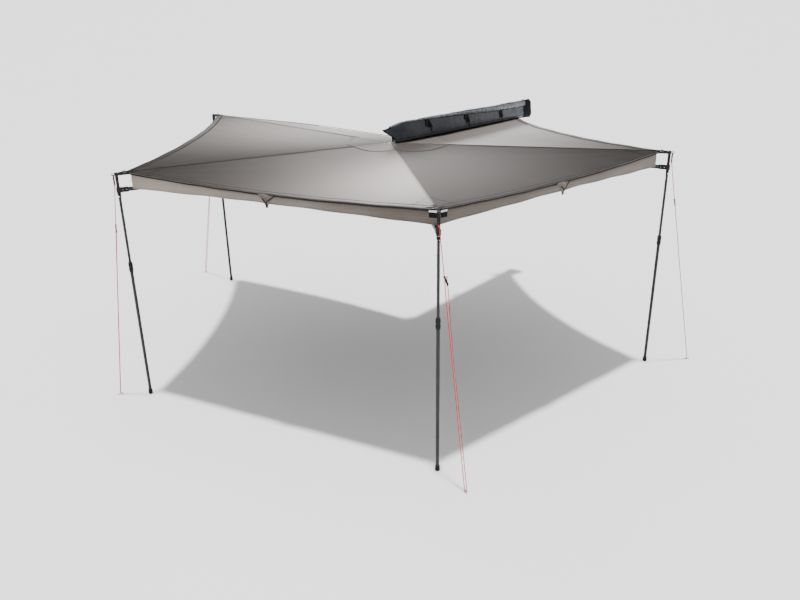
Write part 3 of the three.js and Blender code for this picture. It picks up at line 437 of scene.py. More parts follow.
# Pale glossy strips: a painted highlight for the glints at the front corner
painted_glint = cloth("painted_glint", PALE, 0.001, 0.35, 0.0, contrast=0.05, gloss=0.8)
tab_black = cloth("tab_black", BLACK, 0.0018, 0.8, 0.02, contrast=0.2, gloss=0.1)
bag_cloth = coated("bag_cloth", SLATE, 0.42, toned=True)
bag_end = coated("bag_end", BLACK, 0.7, gloss=0.12)
lid_cloth = coated("lid_cloth", STONE, 0.3)
lining = coated("bag_lining", shade(SLATE, 0.6), 0.55)
plastic = moulded("black_plastic", BLACK, 0.6)
rubber = moulded("black_rubber", BLACK, 0.72, 450)
rope_braid = braid("rope_braid", CORAL, BLUSH)
steel = plated("plated_steel", ZINC, 0.34)
painted = anodised("painted_steel", INK, 0.5, "X", 0.1, 0.05)
tube_metal = {axis: anodised(f"tube_{axis.lower()}", INK, 0.45, axis, 0.3, 0.05) for axis in "XZ"}


# Mesh helpers


def new_object(name, vertices, faces, material, flat=False):
    mesh = bpy.data.meshes.new(name)
    mesh.from_pydata([tuple(v) for v in vertices], [], faces)
    mesh.materials.append(material)
    mesh.update()
    if not flat:
        mesh.shade_smooth()
    return put(name, mesh)


def grid(name, at, columns, rows, material):
    """A single surface at(u, v), with u and v from 0 to 1."""
    vertices = [at(i / columns, j / rows) for i in range(columns + 1) for j in range(rows + 1)]
    step = rows + 1
    starts = (i * step + j for i in range(columns) for j in range(rows))
    return new_object(name, vertices, [(a, a + step, a + step + 1, a + 1) for a in starts], material)


def swept(name, rings, material, flat=False):
    """A closed bar whose skin runs through rings of points."""
    sides, last = len(rings[0]), len(rings) - 1
    faces = []
    for low in range(0, last * sides, sides):
        high = low + sides
        faces += [(low + s, low + (s + 1) % sides, high + (s + 1) % sides, high + s) for s in range(sides)]
    faces += [tuple(range(sides - 1, -1, -1)), tuple(last * sides + s for s in range(sides))]
    return new_object(name, [point for ring in rings for point in ring], faces, material, flat)


def circle(centre, normal, other, radius, sides):
    turns = (math.tau * s / sides for s in range(sides))
    return [Vector(centre) + (normal * math.cos(t) + other * math.sin(t)) * radius for t in turns]


def ribbon(name, points, across, width, thickness, material):
    """A flat band along points. across gives the direction of its width, once or for each point."""
    rings = []
    for i, point in enumerate(points):
        along = direction_at(points, i)
        side = Vector(across[i] if isinstance(across, list) else across)
        side = (side - along * along.dot(side)).normalized()
        face = along.cross(side)
        half_width, half_depth = side * width / 2, face * thickness / 2
        corners = ((-1, -1), (1, -1), (1, 1), (-1, 1))
        rings.append([Vector(point) + half_width * a + half_depth * b for a, b in corners])
    return swept(name, rings, material, flat=True)


def tube(name, points, radius, material, sides=10):
    """A round bar along points. radius is one number, or a list with one for each point."""
    rings = []
    normal = direction_at(points, 0).orthogonal().normalized()
    for i, point in enumerate(points):
        along = direction_at(points, i)
        normal = (normal - along * along.dot(normal)).normalized()
        reach = radius[i] if isinstance(radius, list) else radius
        rings.append(circle(point, normal, along.cross(normal), reach, sides))
    return swept(name, rings, material)


def lathe(name, base, axis, profile, material, sides=32):
    """A profile of (distance along the axis, radius) turned about an axis from base."""
    axis = Vector(axis).normalized()
    normal = axis.orthogonal().normalized()
    other = axis.cross(normal)
    rings = [circle(Vector(base) + axis * d, normal, other, max(r, 0.01 * MM), sides) for d, r in profile]
    return swept(name, rings, material)


def rounded_block(name, centre, axes, size, radius, material):
    """A block with rounded edges. axes are its three directions."""
    mesh = bpy.data.meshes.new(name)
    shape = bmesh.new()
    bmesh.ops.create_cube(shape, size=1)
    bmesh.ops.scale(shape, vec=size, verts=shape.verts)
    bmesh.ops.bevel(shape, geom=shape.edges[:], offset=radius, segments=3, profile=0.5, affect="EDGES")
    turn = Matrix([Vector(a).normalized() for a in axes]).transposed().to_4x4()
    turn.translation = centre
    shape.transform(turn)
    shape.to_mesh(mesh)
    shape.free()
    mesh.materials.append(material)
    mesh.shade_smooth()
    return put(name, mesh)


def joined(name, pieces):
    """Several meshes as one, keeping their materials."""
    target = pieces[0]
    with bpy.context.temp_override(
        active_object=target, selected_editable_objects=pieces, selected_objects=pieces, object=target
    ):
        bpy.ops.object.join()
    target.name = name
    return target


# Guy ropes: the rope, its webbing loop, knots, slider and peg

PEG_REACH = (0.387, 0.302, 0.237, 0.494)  # of each peg, outwards from its leg
PEG_SIDE = (0.148, 0.153, -0.130, -0.011)
EAR_RADIUS = TIP_RADIUS + 0.0245
EAR_DROP = 0.019  # under the tip bracket's top
LOOP_HEIGHT = 0.012
KNOT_DROP = 0.070
STRAND_GAP = 17  # mm
SLIDER_SHARE = 0.178
SLIDER_FALL = 0.052
LOOP_GAP = 0.0026  # from the ear's middle to the webbing
LOOP_WEB = (0.012, 0.0014)  # width and thickness
LOOP_RISE = 0.0043  # of the ear's bar over the ear's lower edge
LOOP_STITCH_DROPS = (0.012, 0.018, 0.048)
LOOP_STITCH_REACH = 0.005
RIB_RADII = [0.0008, 0.0014, 0.0008]


def top_of(node):
    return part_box(node)[1][2] - ground


def ear_bottom(k):
    return top_of(f"tip_bracket_{k}") - EAR_DROP


def rope_point(k, share, side=0.0, down=0.0):
    """A place on arm k's rope route; side and down are in mm, as in the route's list."""
    out = mix(EAR_RADIUS, TIP_RADIUS + PEG_REACH[k - 1], share)
    left = mix(0, PEG_SIDE[k - 1], share) + side * MM
    return on_arm(k, out, left, mix(ear_bottom(k) - KNOT_DROP, LOOP_HEIGHT, share) - down * MM)


def rope_curve(k):
    """The rope's own line, on the route's points, with soft bends between them."""
    points = [rope_point(k, *place) for place in ROPE_ROUTE]
    data = bpy.data.curves.new(f"rope_{k}", "CURVE")
    data.dimensions = "3D"
    data.bevel_depth = ROPE_DIAMETER / 2
    data.bevel_resolution = 3
    data.resolution_u = 6
    spline = data.splines.new("BEZIER")
    spline.bezier_points.add(len(points) - 1)
    for i, (knot, point) in enumerate(zip(spline.bezier_points, points)):
        before, after = points[max(i - 1, 0)], points[min(i + 1, len(points) - 1)]
        along = direction_at(points, i)
        knot.co = point
        knot.handle_left = point - along * (point - before).length / 3
        knot.handle_right = point + along * (after - point).length / 3
    data.materials.append(rope_braid)
    length = sum((b - a).length for a, b in zip(points, points[1:]))
    return put(f"rope_{k}", data), points, length


def wrapped_knot(name, centre, along, radius, turns):
    """A knot as a few turns of rope laid round the line and a tucked end."""
    along = Vector(along).normalized()
    normal = along.orthogonal().normalized()
    other = along.cross(normal)
    points = []
    for share in spread(14 * turns):
        turn = math.tau * turns * share
        lift = (share - 0.5) * turns * ROPE_DIAMETER * 1.1
        swell = radius * (1 + 0.12 * math.sin(math.pi * share))
        points.append(centre + along * lift + (normal * math.cos(turn) + other * math.sin(turn)) * swell)
    points.append(centre + along * MM - other * radius * 0.3)
    return tube(name, points, ROPE_DIAMETER / 2, rope_braid, 8)


def webbing_loop(k):
    """The webbing that runs through the ear of the tip bracket and down to the rope's knot."""
    bar = ear_bottom(k) + LOOP_RISE
    foot = bar - KNOT_DROP - 0.004

    def at(side, height):
        return on_arm(k, EAR_RADIUS, side * LOOP_GAP, height)

    points = [at(1, height) for height in spread(5, foot, bar)]
    for turn in spread(7, 0, math.pi)[1:-1]:
        points.append(at(math.cos(turn), bar + LOOP_GAP * math.sin(turn)))
    points += [at(-1, height) for height in spread(5, bar, foot)]
    pieces = [ribbon(f"loop_{k}", points, outwards(k), *LOOP_WEB, webbing)]
    for drop in LOOP_STITCH_DROPS:
        for side in (-1, 1):
            place = at(side, bar - drop) + leftwards(k) * side * 0.0008
            ends = [place + outwards(k) * reach for reach in (-LOOP_STITCH_REACH, LOOP_STITCH_REACH)]
            pieces.append(tube(f"stitch_{k}", evenly(*ends, 4), 0.0005, pale_thread_and_highlight, 6))
    return joined(f"webbing_loop_{k}", pieces)


def rope_slider(k):
    """A flat two-hole runner with moulded rims, set aslant between the strands."""
    fall = SLIDER_FALL / (ear_bottom(k) - KNOT_DROP - LOOP_HEIGHT)
    upper = rope_point(k, SLIDER_SHARE)
    lower = rope_point(k, SLIDER_SHARE + fall, STRAND_GAP)
    reach = (lower - upper).length
    lean = (lower - upper) / reach
    strand = (rope_point(k, 1) - rope_point(k, 0)).normalized()
    face = strand.cross(lean).normalized()
    centre, axes = (upper + lower) / 2, (face, lean.cross(face), lean)
    pieces = [rounded_block(f"runner_{k}", centre, axes, (0.010, 0.015, reach + 0.013), 0.004, plastic)]
    rim = [(0, 0.0036), (0, 0.0056), (0.002, 0.0062), (0.014, 0.0062), (0.016, 0.0056), (0.016, 0.0036)]
    for hole in (upper, lower):
        pieces.append(lathe(f"rim_{k}", hole - strand * 0.008, strand, rim, plastic, 20))
    for side in (-1, 1):
        rib = [centre + face * 0.0052 * side + lean * reach * share for share in (-0.2, 0, 0.2)]
        pieces.append(tube(f"rib_{k}", rib, RIB_RADII, plastic, 8))
    return joined(f"slider_{k}", pieces)


def make_ropes():
    for k in ARMS:
        rope, points, length = rope_curve(k)
        down = points[1] - points[0]
        knot = wrapped_knot(f"knot_{k}", points[0] - UP * 0.002, down, 0.0048, 3)
        end_knot = wrapped_knot(f"end_knot_{k}", points[-1], down, 0.0030, 1)
        loop, slider = webbing_loop(k), rope_slider(k)
        for piece in (rope, knot, end_knot):
            attach(piece, f"arm_{k}")
        attach(loop, f"arm_{k}")
        attach(slider, f"arm_{k}")
        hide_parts(f"guy_rope_{k}")
        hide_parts(f"rope_slider_{k}")
        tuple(points[0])


make_ropes()


# Canopy: its panels' shape

FOLD_REACH = 1.3  # how much wider the folds from a corner spread across than along
FOLD_COUNT = 13
FOLD_DEPTH = 0.0022
RIPPLE_DEPTH = 0.0012
SLACK_DEPTH = 0.0030


def ridge_point(k, radius, sideways=0.0):
    """A point along arm k's ridge, from the king pin's axis at ground level."""
    height = APEX_HEIGHT + radius * (CORNER_HEIGHT - APEX_HEIGHT) / CANOPY_RADIUS
    return outwards(k) * radius + leftwards(k) * sideways + UP * height


def on_ridge(k, radius, sideways=0.0, lift=0.0):
    return placed(ridge_point(k, radius, sideways)) + UP * lift


class Panel:
    """One canopy panel, between the arm before and arm k, or between the rail and arm 1."""

    def __init__(self, k):
        self.k = k
        self.before = "root" if k == 1 else f"arm_{k - 1}"
        self.body = f"arm_{k}"
        self.to = [ridge_point(k, APEX_GAP, SEAM_GAP), ridge_point(k, CANOPY_RADIUS, SEAM_GAP)]
        self.angles = (0.0 if k == 1 else ANGLES[k - 1], ANGLES[k])
        if k == 1:
            self.start = [Vector((APEX_GAP, 0, APEX_HEIGHT)), Vector(RAIL_CORNER)]
        else:
            self.start = [ridge_point(k - 1, r, -SEAM_GAP) for r in (APEX_GAP, CANOPY_RADIUS)]
        self.bow = {1: FRONT_EDGE_BOW, LAST_ARM: REAR_EDGE_BOW}.get(k, 0.0)
        self.sag = 0.0 if self.bow else HEM_SAG
        self.outer = ((self.start[1] + self.to[1]) * Vector((1, 1, 0))).normalized()
        self.edge_length = (self.to[1] - self.start[1]).length
        self.valance_level = self.start[1].z - CLOTH - VALANCE_DROP

    def hem(self, u):
        point = self.start[1].lerp(self.to[1], u) - self.outer * self.bow * arch(u)
        point.z -= self.sag * arch(u)
        return point

    def at(self, u, v, lift=0.0):
        """A place on the panel's upper face, from u 0 to 1 across and v 0 at the hub to 1 at the hem."""
        point = self.start[0].lerp(self.to[0], u).lerp(self.hem(u), v)
        point.z += lift - PANEL_SAG * arch(u) * arch(v) - self.pull(u, v)
        return point

    def pull(self, u, v):
        """Shallow folds that run from the corners into the cloth, and ripples along the hem."""
        fold = 0.0
        for corner in (u * FOLD_REACH, (1 - u) * FOLD_REACH):
            away = math.hypot(corner, 1 - v)
            bearing = math.atan2(1 - v, corner + 1e-6)
            fold += FOLD_DEPTH * math.sin(bearing * FOLD_COUNT) * math.exp(-away * 5) * min(away * 12, 1)
        near_hem = smooth((v - 0.85) / 0.15) * min(1, arch(u) * 3)
        ripple = RIPPLE_DEPTH * math.sin(u * 41 + math.sin(u * 9)) * near_hem
        return fold + ripple + SLACK_DEPTH * wrinkle(u * 3.1, v * 3.7, self.k * 5.0) * arch(u)

    def place(self, u, v, lift=0.0):
        return placed(self.at(u, v, lift))

    def line(self, steps, v, lift=0.0, start=0, end=1):
        """The panel's places at even steps across it."""
        return [self.place(u, v, lift) for u in spread(steps, start, end)]

    def fold(self, piece):
        """Bakes the piece's place into its mesh and works out each point's angle round the king pin, which
        nothing then uses.
        """
        self.place(0, 0.5)
        self.place(1, 0.5)
        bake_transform(piece)
        first, last = self.angles
        for vertex in piece.data.vertices:
            around = vertex.co - ORIGIN
            angle = -math.atan2(around.y, around.x)
            while angle < first - math.pi / 2:
                angle += math.tau
            while angle > last + math.pi / 2:
                angle -= math.tau


PANELS = {k: Panel(k) for k in ARMS}

# Painted light and shade, standing in for how the light falls on each panel: how light each panel's cloth is
# painted at the hub, at its first corner and at its last, and how much lighter it is painted halfway out
# beside its first and its last arm
PANEL_PAINTED_SHADING = {
    1: (1.7, 2.8, 0.5, 0.0, 0.8),
    2: (0.85, 0.3, 0.42, 0.0, 0.1),
    3: (1.3, 1.05, 0.38, 1.6, 0.0),
    4: (0.7, 0.45, 0.9, 0.0, 2.3),
}
# Painted light and shade along each valance: how light it is painted at its first end and at its last
VALANCE_PAINTED_SHADING = {2: (0.95, 0.62), 3: (0.55, 1.5)}


def canopy_share(point):
    """The panel that a point lies on, and its shares across it and out from the hub."""
    around = point - ORIGIN
    angle = -math.atan2(around.y, around.x) % math.tau
    k = next((k for k in ARMS if angle <= ANGLES[k]), LAST_ARM)
    first, last = PANELS[k].angles
    return k, min((angle - first) / (last - first), 1.0), min(around.xy.length / CANOPY_RADIUS, 1.0)


def painted_panel_shade(point):
    # Painted light and shade across the panel, by its place
    k, u, v = canopy_share(point)
    hub, start, end, swell_first, swell_last = PANEL_PAINTED_SHADING[k]
    swell = arch(v) * (swell_first * (1 - u) ** 3 + swell_last * u**1.2)
    return mix(hub, mix(start, end, smooth(u)), smooth(v)) + swell


def toned(piece, tone=painted_panel_shade):
    """Writes how light the piece's cloth is painted at each of its points: on the canopy this is painted
    light and shade.
    """
    values = [tone(vertex.co) for vertex in piece.data.vertices]
    layer = piece.data.attributes.new(TONE, "FLOAT_COLOR", "POINT")
    layer.data.foreach_set("color", [c for value in values for c in (value, value, value, 1.0)])
    return piece


# Canopy: cloth, hems, seams and patches

COLUMNS = 56
ROWS = 48
STEPS = 80  # along an edge
STITCH = 0.0007
STITCH_SIDES = 6
HEM_WIDTH = 0.062
HEM_THICKNESS = 0.0022
HEM_RISE = 0.0004  # of its middle over the cloth
HEM_STITCH_SHARES = (0.08, 0.88)  # of the way across it
HEM_LIFT = 0.0016  # of what is sewn on the hem
FOLD_SHADE_WIDTH = 0.013
BINDING = (0.008, 0.004)  # width and thickness, as in every pair below
BINDING_DROP = 0.0006
ZIP_ENDS = (0.012, 0.988)  # as shares of the hem
ZIP_FORWARD = 0.003
EDGE_HIGHLIGHT_STRIP = (0.006, 0.0024)
EDGE_HIGHLIGHT_DROP = 0.004
TEETH_RADIUS = 0.0035
TEETH_DROP = 0.011
ZIP_COVER = (0.008, 0.0024)
COVER_DROP = 0.0145
SEAM_BANDS = ((0.38, 0.75, 0.011), (0.75, CANOPY_RADIUS - 0.01, 0.022))  # from, to and width
SEAM_STITCH_SHARE = 0.32
SEAM_LIFT = 0.0012
SEAM_THICKNESS = 0.0016
PATCH_RADII = (0.60, 0.56, 0.345, 0.38, 0.42)  # at the rail and at each arm
PATCH_START = 0.03  # share of the way out from the hub
PATCH_LIFT = 0.0014
PATCH_STITCH = 0.0009
PATCH_STITCH_INSET = 0.004
PATCH_EDGE = 0.0016
CORNER_PATCH_SHARE = 0.13
CORNER_PATCH_LIFT = 0.0013


def hem_band(panel):
    """The turned hem along the outer edge: a dark strip of painted shade along its fold, and its two rows of
    stitches.
    """
    points, inner = panel.line(STEPS, 1), panel.line(STEPS, 1 - HEM_WIDTH / CANOPY_RADIUS)
    across = differences(points, inner)
    material = canvas_hem if panel.bow else canvas
    centres = shifted(between(points, inner, 0.5), UP * HEM_RISE)
    rows = [ribbon(f"hem_{panel.k}", centres, across, HEM_WIDTH, HEM_THICKNESS, material)]
    # A dark strip of painted shade along the fold
    rows.append(ribbon("hem_fold_shade", shifted(inner, UP * HEM_LIFT), across, FOLD_SHADE_WIDTH, MM, dark_canvas_and_fold_shade))
    for share in HEM_STITCH_SHARES:
        line = shifted(between(points, inner, share), UP * HEM_LIFT)
        rows.append(tube("hem_stitch", line, STITCH, dark_canvas_and_fold_shade, STITCH_SIDES))
    return toned(joined(f"hem_band_{panel.k}", rows))


def edge_binding(panel):
    """Black tape folded over the curved edge of an end panel."""
    points = panel.line(STEPS, 1, -BINDING_DROP)
    across = differences(points, panel.line(STEPS, 0.99))
    return ribbon(f"edge_binding_{panel.k}", points, across, *BINDING, webbing)


def zip_line(panel):
    """Under a straight hem: a pale strip, a painted highlight on the hem's rolled edge, and, below it, the
    black zip that a wall joins.
    """
    edge = panel.line(STEPS, 1, 0, *ZIP_ENDS)
    front = shifted(edge, panel.outer * ZIP_FORWARD)
    pieces = [
        # The pale strip is a painted highlight on the hem's rolled edge
        ribbon(f"pale_{panel.k}", shifted(edge, -UP * EDGE_HIGHLIGHT_DROP), UP, *EDGE_HIGHLIGHT_STRIP, pale_thread_and_highlight),
        tube("teeth", shifted(front, -UP * TEETH_DROP), TEETH_RADIUS, zip_tape, 8),
        ribbon("zip_cover", shifted(front, -UP * COVER_DROP), UP, *ZIP_COVER, zip_tape),
    ]
    return joined(f"zip_{panel.k}", pieces)


def ridge_seam(k):
    """The raised seam over an arm, sewn in two rows, from the edge of the hub patch to the corner."""
    pieces = []
    for start, end, width in SEAM_BANDS:
        points = [on_ridge(k, radius, lift=SEAM_LIFT) for radius in spread(40, start, end)]
        pieces.append(ribbon(f"seam_{k}", points, leftwards(k), width, SEAM_THICKNESS, canvas))
        for side in (-SEAM_STITCH_SHARE, SEAM_STITCH_SHARE):
            line = shifted(points, leftwards(k) * side * width + UP * MM)
            pieces.append(tube("seam_stitch", line, STITCH, canvas, STITCH_SIDES))
    return toned(joined(f"ridge_seam_{k}", pieces))


def hub_patch(panel):
    """The doubled cloth round the hub, edged by an arc of stitches."""

    def radius_share(u):
        return mix(PATCH_RADII[panel.k - 1], PATCH_RADII[panel.k], u) / panel.hem(u).xy.length

    def at(u, v):
        return panel.place(u, mix(PATCH_START, radius_share(u), v), PATCH_LIFT)

    patch = grid(f"patch_{panel.k}", at, 28, 14, canvas)
    arc = [panel.place(u, radius_share(u) - PATCH_STITCH_INSET, 0.0022) for u in spread(40)]
    edge = [panel.place(u, radius_share(u), 0.0012) for u in spread(40)]
    rows = [
        tube("stitches", arc, PATCH_STITCH, canvas_band, STITCH_SIDES),
        tube("edge", edge, PATCH_EDGE, canvas_band, STITCH_SIDES),
    ]
    return toned(patch), toned(joined(f"patch_trim_{panel.k}", rows))


def corner_patch(panel, end):
    """Doubled cloth in a corner, and the stitched edge of it."""

    def at(s, t):
        along = (1 - s) * CORNER_PATCH_SHARE * t * 0.6
        return panel.place(abs(end - along), 1 - CORNER_PATCH_SHARE * t * s, CORNER_PATCH_LIFT)

    patch = grid(f"corner_{panel.k}_{end}", at, 10, 10, canvas)
    rim_line = [at(s, 1) + UP * 0.0008 for s in spread(20)]
    rim = tube("corner_edge", rim_line, PATCH_STITCH, dark_canvas_and_fold_shade, STITCH_SIDES)
    return toned(joined(f"corner_patch_{panel.k}_{end}", [patch, rim]))


# Canopy: the valance under the straight hems

VALANCE_INSET = 0.016
VALANCE_END = 0.050  # from its free end to the corner
VALANCE_STEPS = 140
FREE_END_DROP = 0.016  # how much lower it hangs there
VALANCE_WAVE = 0.005
VALANCE_WRINKLE = 0.004
VALANCE_BILLOW = 0.006
VALANCE_EDGE = 0.0022
VALANCE_STITCH = 0.0006
VALANCE_CORNER_START = 0.32  # share of the way down, below the rafter


def valance_place(panel):
    """The face of the cloth under a straight hem, as a function of the shares along it and down it."""
    free_start = panel.k == FRONT_ARM

    def at(w, v):
        joining = VALANCE_INSET * (1 - 0.93 * smooth((v - 0.3) / 0.15))  # the rafter needs room at the top
        first, last = (VALANCE_END, joining) if free_start else (joining, VALANCE_END)
        top = panel.hem(mix(first / panel.edge_length, 1 - last / panel.edge_length, w))
        towards_free = 1 - w if free_start else w
        foot = panel.valance_level - FREE_END_DROP * smooth((towards_free - 0.55) / 0.45)
        wave = VALANCE_WAVE * math.sin(w * 37 + panel.k) * v * v
        wave += VALANCE_WRINKLE * wrinkle(w * 9, v, panel.k)
        billow = VALANCE_BILLOW * math.sin(v * math.pi)
        forward = panel.outer * (wave * smooth(v * 3) + billow - 0.0012)
        return placed(Vector((top.x, top.y, mix(top.z - 0.004, foot, v))) + forward)

    return at


def valance_corner():
    """The cloth that joins the two valances round the corner between them, below the rafter."""
    before, after = (valance_place(PANELS[k]) for k in (FRONT_ARM, FRONT_ARM + 1))
    # Painted shade: the mean of the two valances' painted lightness where they meet
    painted_lightness = (VALANCE_PAINTED_SHADING[FRONT_ARM][1] + VALANCE_PAINTED_SHADING[FRONT_ARM + 1][0]) / 2

    def at(u, v):
        drop = mix(VALANCE_CORNER_START, 1, v)
        return before(1, drop).lerp(after(0, drop), u) + outwards(FRONT_ARM) * (0.007 * arch(u) + 0.0006)

    return toned(grid("valance_corner", at, 12, 12, valance_cloth), lambda point: painted_lightness)


def valance(panel):
    """The strip of lighter cloth that hangs under a straight hem, with its rolled lower edge."""
    at = valance_place(panel)
    first, last = VALANCE_PAINTED_SHADING[panel.k]

    def tone(point):
        """Painted shade: lighter or darker along the edge, and a painted shadow of the zip at the top."""
        share = canopy_share(point)[1]
        drop = (placed(panel.hem(share)).z - point.z) / VALANCE_DROP
        return mix(first, last, share) * mix(0.55, 1, smooth(drop / 0.35))

    hanging = grid(f"valance_{panel.k}", at, VALANCE_STEPS, 14, valance_cloth)
    edge = tube("valance_edge", [at(w, 1) for w in spread(VALANCE_STEPS)], VALANCE_EDGE, valance_cloth, 8)
    line = [at(w, 0.9) + panel.outer * 0.0008 for w in spread(VALANCE_STEPS)]
    stitch = tube("valance_stitch", line, VALANCE_STITCH, valance_cloth, STITCH_SIDES)
    return toned(hanging, tone), toned(joined(f"valance_trim_{panel.k}", [edge, stitch]), tone)


# Canopy: webbing at the corners and tabs at the middle of the straight hems

CORNER_REACH = (CANOPY_RADIUS - 0.085, TIP_RADIUS - 0.016)
GUSSET_SIDES = (-0.036, -0.022, 0.0, 0.022, 0.036)
GLINT_STEPS = (0, 0.014, 0.028, 0.042, 0.056)
GLINT_STRIP = (0.013, 0.001)
GLINT_LIFT = 0.003
GLINT_SIDE = 0.014
SKIRT = (0.036, 0.0018)
SKIRT_DROP = 0.022
GUSSET = (0.040, 0.0018)
CORNER_WEB = (0.026, 0.0022)
CORNER_BUCKLE = (0.026, 0.034, 0.007)
HEM_WEB_STEP = 0.012
HEM_WEB_SHARE = 0.9955  # of the way out to the hem
HEM_WEB = (0.017, 0.0018)
TAB_HALF_WIDTHS = (0.075, 0.014)  # at its top and its foot
TAB_PUFF = 0.014
TAB_WEB = (0.008, 0.0016)
TAB_CLIP = (0.020, 0.007, 0.020)
TAB_BAR = (0.026, 0.009, 0.006)


def corner_fitting(k):
    """The webbing that draws the canopy's corner out along the arm to the tip bracket, with its buckle."""
    points = []
    for i, radius in enumerate(spread(12, *CORNER_REACH)):
        points.append(on_ridge(k, radius, lift=0.0035 - 0.004 * smooth((i - 7) / 5)))
    web = ribbon(f"corner_web_{k}", points, leftwards(k), *CORNER_WEB, webbing)
    place = on_ridge(k, CANOPY_RADIUS + 0.016, lift=0.005)
    axes = (outwards(k), leftwards(k), UP)
    buckle = rounded_block("corner_buckle", place, axes, CORNER_BUCKLE, 0.002, plastic)
    return joined(f"corner_fitting_{k}", [web, buckle])


def corner_leg(panel, end):
    """Webbing sewn along a hem, out of the panel's corner."""
    shares = (abs(end - i * HEM_WEB_STEP / panel.edge_length) for i in range(7))
    line = [panel.place(u, HEM_WEB_SHARE, 0.0032) for u in shares]
    across = (line[0] - ORIGIN) * Vector((1, 1, 0))
    return ribbon(f"corner_leg_{panel.k}_{end}", line, across, *HEM_WEB, webbing)


def corner_skirt():
    """Where two straight hems meet: pale glossy strips, a painted highlight for the glints beside the post,
    over a patch of black webbing.
    """
    k = FRONT_ARM
    gusset = []
    for side in GUSSET_SIDES:
        gusset.append(on_ridge(k, CANOPY_RADIUS + 0.010 - abs(side) * 0.55, side, -SKIRT_DROP))
    strips = [ribbon("gusset", gusset, UP, *GUSSET, webbing)]
    for panel, end, side in ((PANELS[k], 1, GLINT_SIDE), (PANELS[k + 1], 0, -GLINT_SIDE)):
        hem = (panel.hem(end) - panel.hem(abs(end - 0.1))).normalized()
        tip = on_ridge(k, TIP_RADIUS + 0.008, side)
        line = [tip - hem * reach for reach in GLINT_STEPS]
        # A pale strip of painted highlight
        strips.append(ribbon("strip", shifted(line, UP * GLINT_LIFT), UP, *GLINT_STRIP, painted_glint))
        strips.append(ribbon("skirt", shifted(line, -UP * SKIRT_DROP), UP, *SKIRT, webbing))
    return joined(f"corner_skirt_{k}", strips)


def middle_tab(panel):
    """The crumpled tab at the middle of a straight hem, with its webbing and a clip for a side wall."""
    outer = panel.outer
    along = outer.cross(UP)
    top = placed(panel.hem(0.5)) + outer * 0.010
    height = top.z - ground - panel.valance_level

    def at(s, t):
        half = mix(*TAB_HALF_WIDTHS, t)
        puff = TAB_PUFF * math.sin(math.pi * t) * (1 - (2 * s - 1) ** 2)
        crumple = 0.005 * wrinkle(s * 3.3, t * 4.1, panel.k) + 0.002 * math.sin(9 * s + 11 * t)
        drop = 0.006 + (height + 0.004) * t + 0.006 * math.sin(7 * s) * (1 - t)
        return top + along * half * (2 * s - 1) + outer * (puff + crumple * math.sin(math.pi * t)) - UP * drop

    def block(name, drop, size):
        return rounded_block(name, at(0.5, 1) - UP * drop, (along, outer, UP), size, 0.0025, plastic)

    pieces = [grid(f"tab_{panel.k}", at, 24, 20, tab_cloth)]
    for side, start in ((0, 0), (1, 4)):
        line = [at(mix(side, 0.5, smooth(t)), t) + outer * 0.0014 for t in spread(10)[start:]]
        pieces.append(ribbon("tab_web", line, along, *TAB_WEB, webbing))
    pieces.append(block("tab_clip", 0.011, TAB_CLIP))
    pieces.append(block("tab_bar", 0.001, TAB_BAR))
    return joined(f"middle_tab_{panel.k}", pieces)


# Canopy: the strip beyond the last arm

FLAP_INNER = 0.02
FLAP_WIDTH = 0.3
FLAP_TIP_WIDTH = 0.055
FLAP_STEPS = 60
FACING_STEPS = 28  # of them, from the hub
FLAP_HEM = (0.034, 0.0022)
FLAP_EDGE = 0.0032
FACING = (0.045, 0.0018)


def rear_flap():
    """The last panel's strip that reaches past its arm towards the vehicle, with a hemmed free edge."""

    def at(u, v):
        width = mix(FLAP_WIDTH, FLAP_TIP_WIDTH, v * v)
        point = on_ridge(LAST_ARM, mix(FLAP_INNER, CANOPY_RADIUS, v), -width * u)
        return point - UP * (0.010 * u * u + 0.003 * math.sin(v * 9) * u)

    flap = grid("flap", at, 14, FLAP_STEPS, canvas)
    edge, inner = ([at(u, v) for v in spread(FLAP_STEPS)] for u in (1, 0.9))
    across = differences(edge, inner)
    facing = shifted(between(edge, inner, 1.6), UP * MM)[:FACING_STEPS]
    trims = [
        ribbon("flap_hem", between(edge, inner, 0.3), across, *FLAP_HEM, dark_canvas_and_fold_shade),
        tube("flap_edge", edge, FLAP_EDGE, dark_canvas_and_fold_shade, 8),
        ribbon("flap_facing", facing, across[:FACING_STEPS], *FACING, valance_cloth),
    ]
    return toned(flap), toned(joined("flap_trim", trims))


def make_canopy():
    for k, panel in PANELS.items():
        main = toned(grid(f"cloth_{k}", panel.place, COLUMNS, ROWS, canvas))
        ends = (1,) if k == 1 else (1, 0)
        light = [main, *hub_patch(panel), hem_band(panel), *(corner_patch(panel, end) for end in ends)]
        black = [corner_leg(panel, end) for end in ends]
        if panel.bow:
            black.append(edge_binding(panel))
        else:
            black += [zip_line(panel), middle_tab(panel)]
            light += valance(panel)
        for pieces, slot in ((light, "canopy_cloth"), (black, "webbing")):
            for piece in pieces:
                panel.fold(piece)
        attach(ridge_seam(k), panel.body)
        attach(corner_fitting(k), panel.body)
        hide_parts(f"canopy_panel_{k}")
    attach(corner_skirt(), f"arm_{FRONT_ARM}")
    attach(valance_corner(), f"arm_{FRONT_ARM}")
    for piece in rear_flap():
        attach(piece, f"arm_{LAST_ARM}")


make_canopy()


# Storage bag, standing open along the rail

